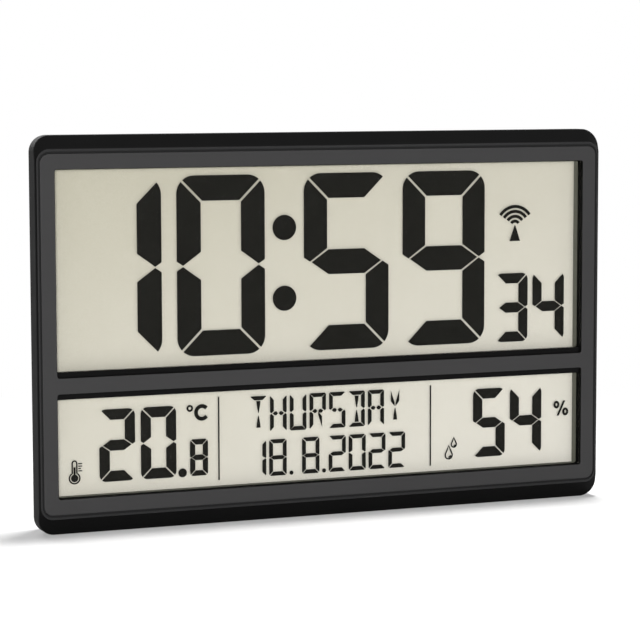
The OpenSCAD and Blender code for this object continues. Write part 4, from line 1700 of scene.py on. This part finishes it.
@dataclass(frozen=True)
class Viewpoint:
    """The camera at the photograph's viewing angle.

    Fields:
        turn, rise, roll: its angles in degrees.
        distance: from the aim, in millimetres.
        aim: place on the face it looks at.
        focal_px: focal length in pixels.
        image_px: width of the picture in pixels.
        sensor_mm: width of the sensor.
        clip: nearest and farthest place it shows, in metres.
    """

    turn: float = -21.896
    rise: float = 5.717
    roll: float = -0.139
    distance: float = 1471.45
    aim: Point2 = (-6.944, 2.85)
    focal_px: float = 2429.08
    image_px: float = 640.0
    sensor_mm: float = 36.0
    clip: Pair = (0.05, 50.0)

    def set_up(self, datum: Datum) -> None:
        """Put the camera into the scene.

        Args:
            datum: where the front view lies.
        """
        data = bpy.data.cameras.new("camera")
        data.sensor_width = self.sensor_mm
        data.lens = self.focal_px / self.image_px * data.sensor_width
        data.clip_start, data.clip_end = self.clip
        camera = placed("camera", data)
        a, e, r = (math.radians(angle) for angle in (self.turn, self.rise, self.roll))
        away = Vector((math.sin(a) * math.cos(e), -math.cos(a) * math.cos(e), math.sin(e)))
        right = Vector((math.cos(a), math.sin(a), 0))
        up = away.cross(right)
        right, up = right * math.cos(r) + up * math.sin(r), up * math.cos(r) - right * math.sin(r)
        turned = Matrix((right, up, away)).transposed()
        place = datum.at(*self.aim, 0) + away * self.distance * MM
        camera.matrix_world = Matrix.Translation(place) @ turned.to_4x4()
        bpy.context.scene.camera = camera


@dataclass
class Studio:
    """Pale floor, soft light, white surroundings and the camera.

    Fields:
        datum: where the front view lies.
        floor_half: half of the floor's edge, in metres.
        floor_cells: cells along that edge.
        floor_drop: gap under the clock, in metres.
        fade: distances from the floor's middle where the paper starts to fade and is gone, in metres.
        paper_share: how much of the paper shows near the clock.
        paper_level: how bright lit paper is where no shadow falls.
        paper_tone: its grey.
        paper_mottle: how much that grey varies.
        paper_mm: size of that variation.
        ambient: strength of the even light from all sides.
        lamps: all lamps.
        view: the camera.
    """

    datum: Datum
    floor_half: float = 6.0
    floor_cells: int = 12
    floor_drop: float = 0.0002
    fade: Pair = (0.24, 0.6)
    paper_share: float = 0.95
    paper_level: float = 0.75
    paper_tone: float = 0.55
    paper_mottle: float = 0.01
    paper_mm: float = 9.0
    ambient: float = 0.1
    lamps: tuple[Lamp, ...] = (
        Lamp("front_lamp", -1230, 375, 3300, 0.7, 93.0), Lamp("key_lamp", 1200, 640, 2350, 0.5, 8.5),
        Lamp("top_lamp", 400, 4000, -282, 0.56, 215.0), Lamp("rear_lamp", -300, 900, -1700, 1.2, 21.0))
    view: Viewpoint = Viewpoint()

    def floor(self) -> None:
        """Lay a wide flat floor under the clock."""
        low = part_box("front_housing")[0]
        mesh = bmesh.new()
        bmesh.ops.create_grid(mesh, x_segments=self.floor_cells, y_segments=self.floor_cells, size=self.floor_half)
        data = bpy.data.meshes.new("floor")
        mesh.to_mesh(data)
        mesh.free()
        data.materials.append(self.floor_material())
        floor = placed("floor", data)
        floor.location = (0, 0, low.z - self.floor_drop)

    def floor_material(self) -> bpy.types.Material:
        """Make white paper that keeps the clock's shadow and runs into the white surroundings.

        Returns:
            The new material.
        """
        material = bpy.data.materials.new("pale_floor")
        sheet = Sheet(material)
        away = sheet.add("ShaderNodeVectorMath", {"operation": "LENGTH"}, {0: sheet.place()})[1]
        share = sheet.add("ShaderNodeMapRange", {"interpolation_type": "SMOOTHSTEP"}, {
            "Value": away, "From Min": self.fade[0], "From Max": self.fade[1],
            "To Min": self.paper_share, "To Max": 0.0})[0]
        dark, light = ((self.paper_tone + change,) * 3 for change in (-self.paper_mottle, self.paper_mottle))
        tint = sheet.mix(sheet.noise(self.paper_mm), dark, light)
        paper = sheet.add("ShaderNodeBsdfDiffuse", {}, {"Color": tint})[0]
        glow = (1 - self.paper_level * share) / (1 - share)
        white = sheet.add("ShaderNodeEmission", {}, {"Color": glow, "Strength": 1.0})[0]
        surface = sheet.add("ShaderNodeMixShader", {}, {0: sheet.seen() * (1 - share), 1: paper, 2: white})[0]
        sheet.add("ShaderNodeOutputMaterial", {}, {"Surface": surface})
        return material

    def world(self) -> None:
        """Give white surroundings to the eye, and an even dim light from all sides."""
        world = bpy.data.worlds.new("studio")
        bpy.context.scene.world = world
        sheet = Sheet(world)
        strength = self.ambient + (1 - self.ambient) * sheet.seen()
        surface = sheet.add("ShaderNodeBackground", {}, {"Color": (1, 1, 1), "Strength": strength})[0]
        sheet.add("ShaderNodeOutputWorld", {}, {"Surface": surface})

    def build(self) -> None:
        """Set up the whole studio."""
        self.floor()
        self.world()
        for lamp in self.lamps:
            lamp.hang(self.datum)
        self.view.set_up(self.datum)
        bpy.context.scene.view_settings.view_transform = "Standard"


@dataclass
class PackedNodes:
    """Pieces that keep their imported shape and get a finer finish.

    Fields:
        record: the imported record.
        nodes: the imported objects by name.
    """

    record: dict
    nodes: dict[str, bpy.types.Object]

    def dress(self, palette: Palette) -> None:
        """Give each node the finish of its slot.

        Args:
            palette: the finishes.
        """
        for entry in self.record["subparts"]:
            node = self.nodes[entry["node"]]
            material = palette.material(Slot(entry["material_slot"]))
            node.data.materials.clear()
            node.data.materials.append(material)
            LOG.info("node %s: %s", node.name, material.name)


def main() -> None:
    """Build the clock's pieces in order, then the studio."""
    logging.basicConfig(level=logging.INFO, format="%(message)s")
    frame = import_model()
    datum, palette = Datum.from_frame(), Palette()
    PackedNodes(frame["record"], frame["nodes"]).dress(palette)
    layout = FaceLayout(datum)
    for front in (FacePlate, FrontShell, RecessFrames):
        front(datum, palette, layout).build()
    for group in (DisplayGlass, WeekdayRow, ReceptionSign, ThermometerSign, DegreeSign, DropSigns, PercentSign,
                  CaseScrews, SettingButtons, ButtonSigns, BatteryDoor):
        group(datum, palette).build()
    Studio(datum).build()


if __name__ == "__main__":
    main()
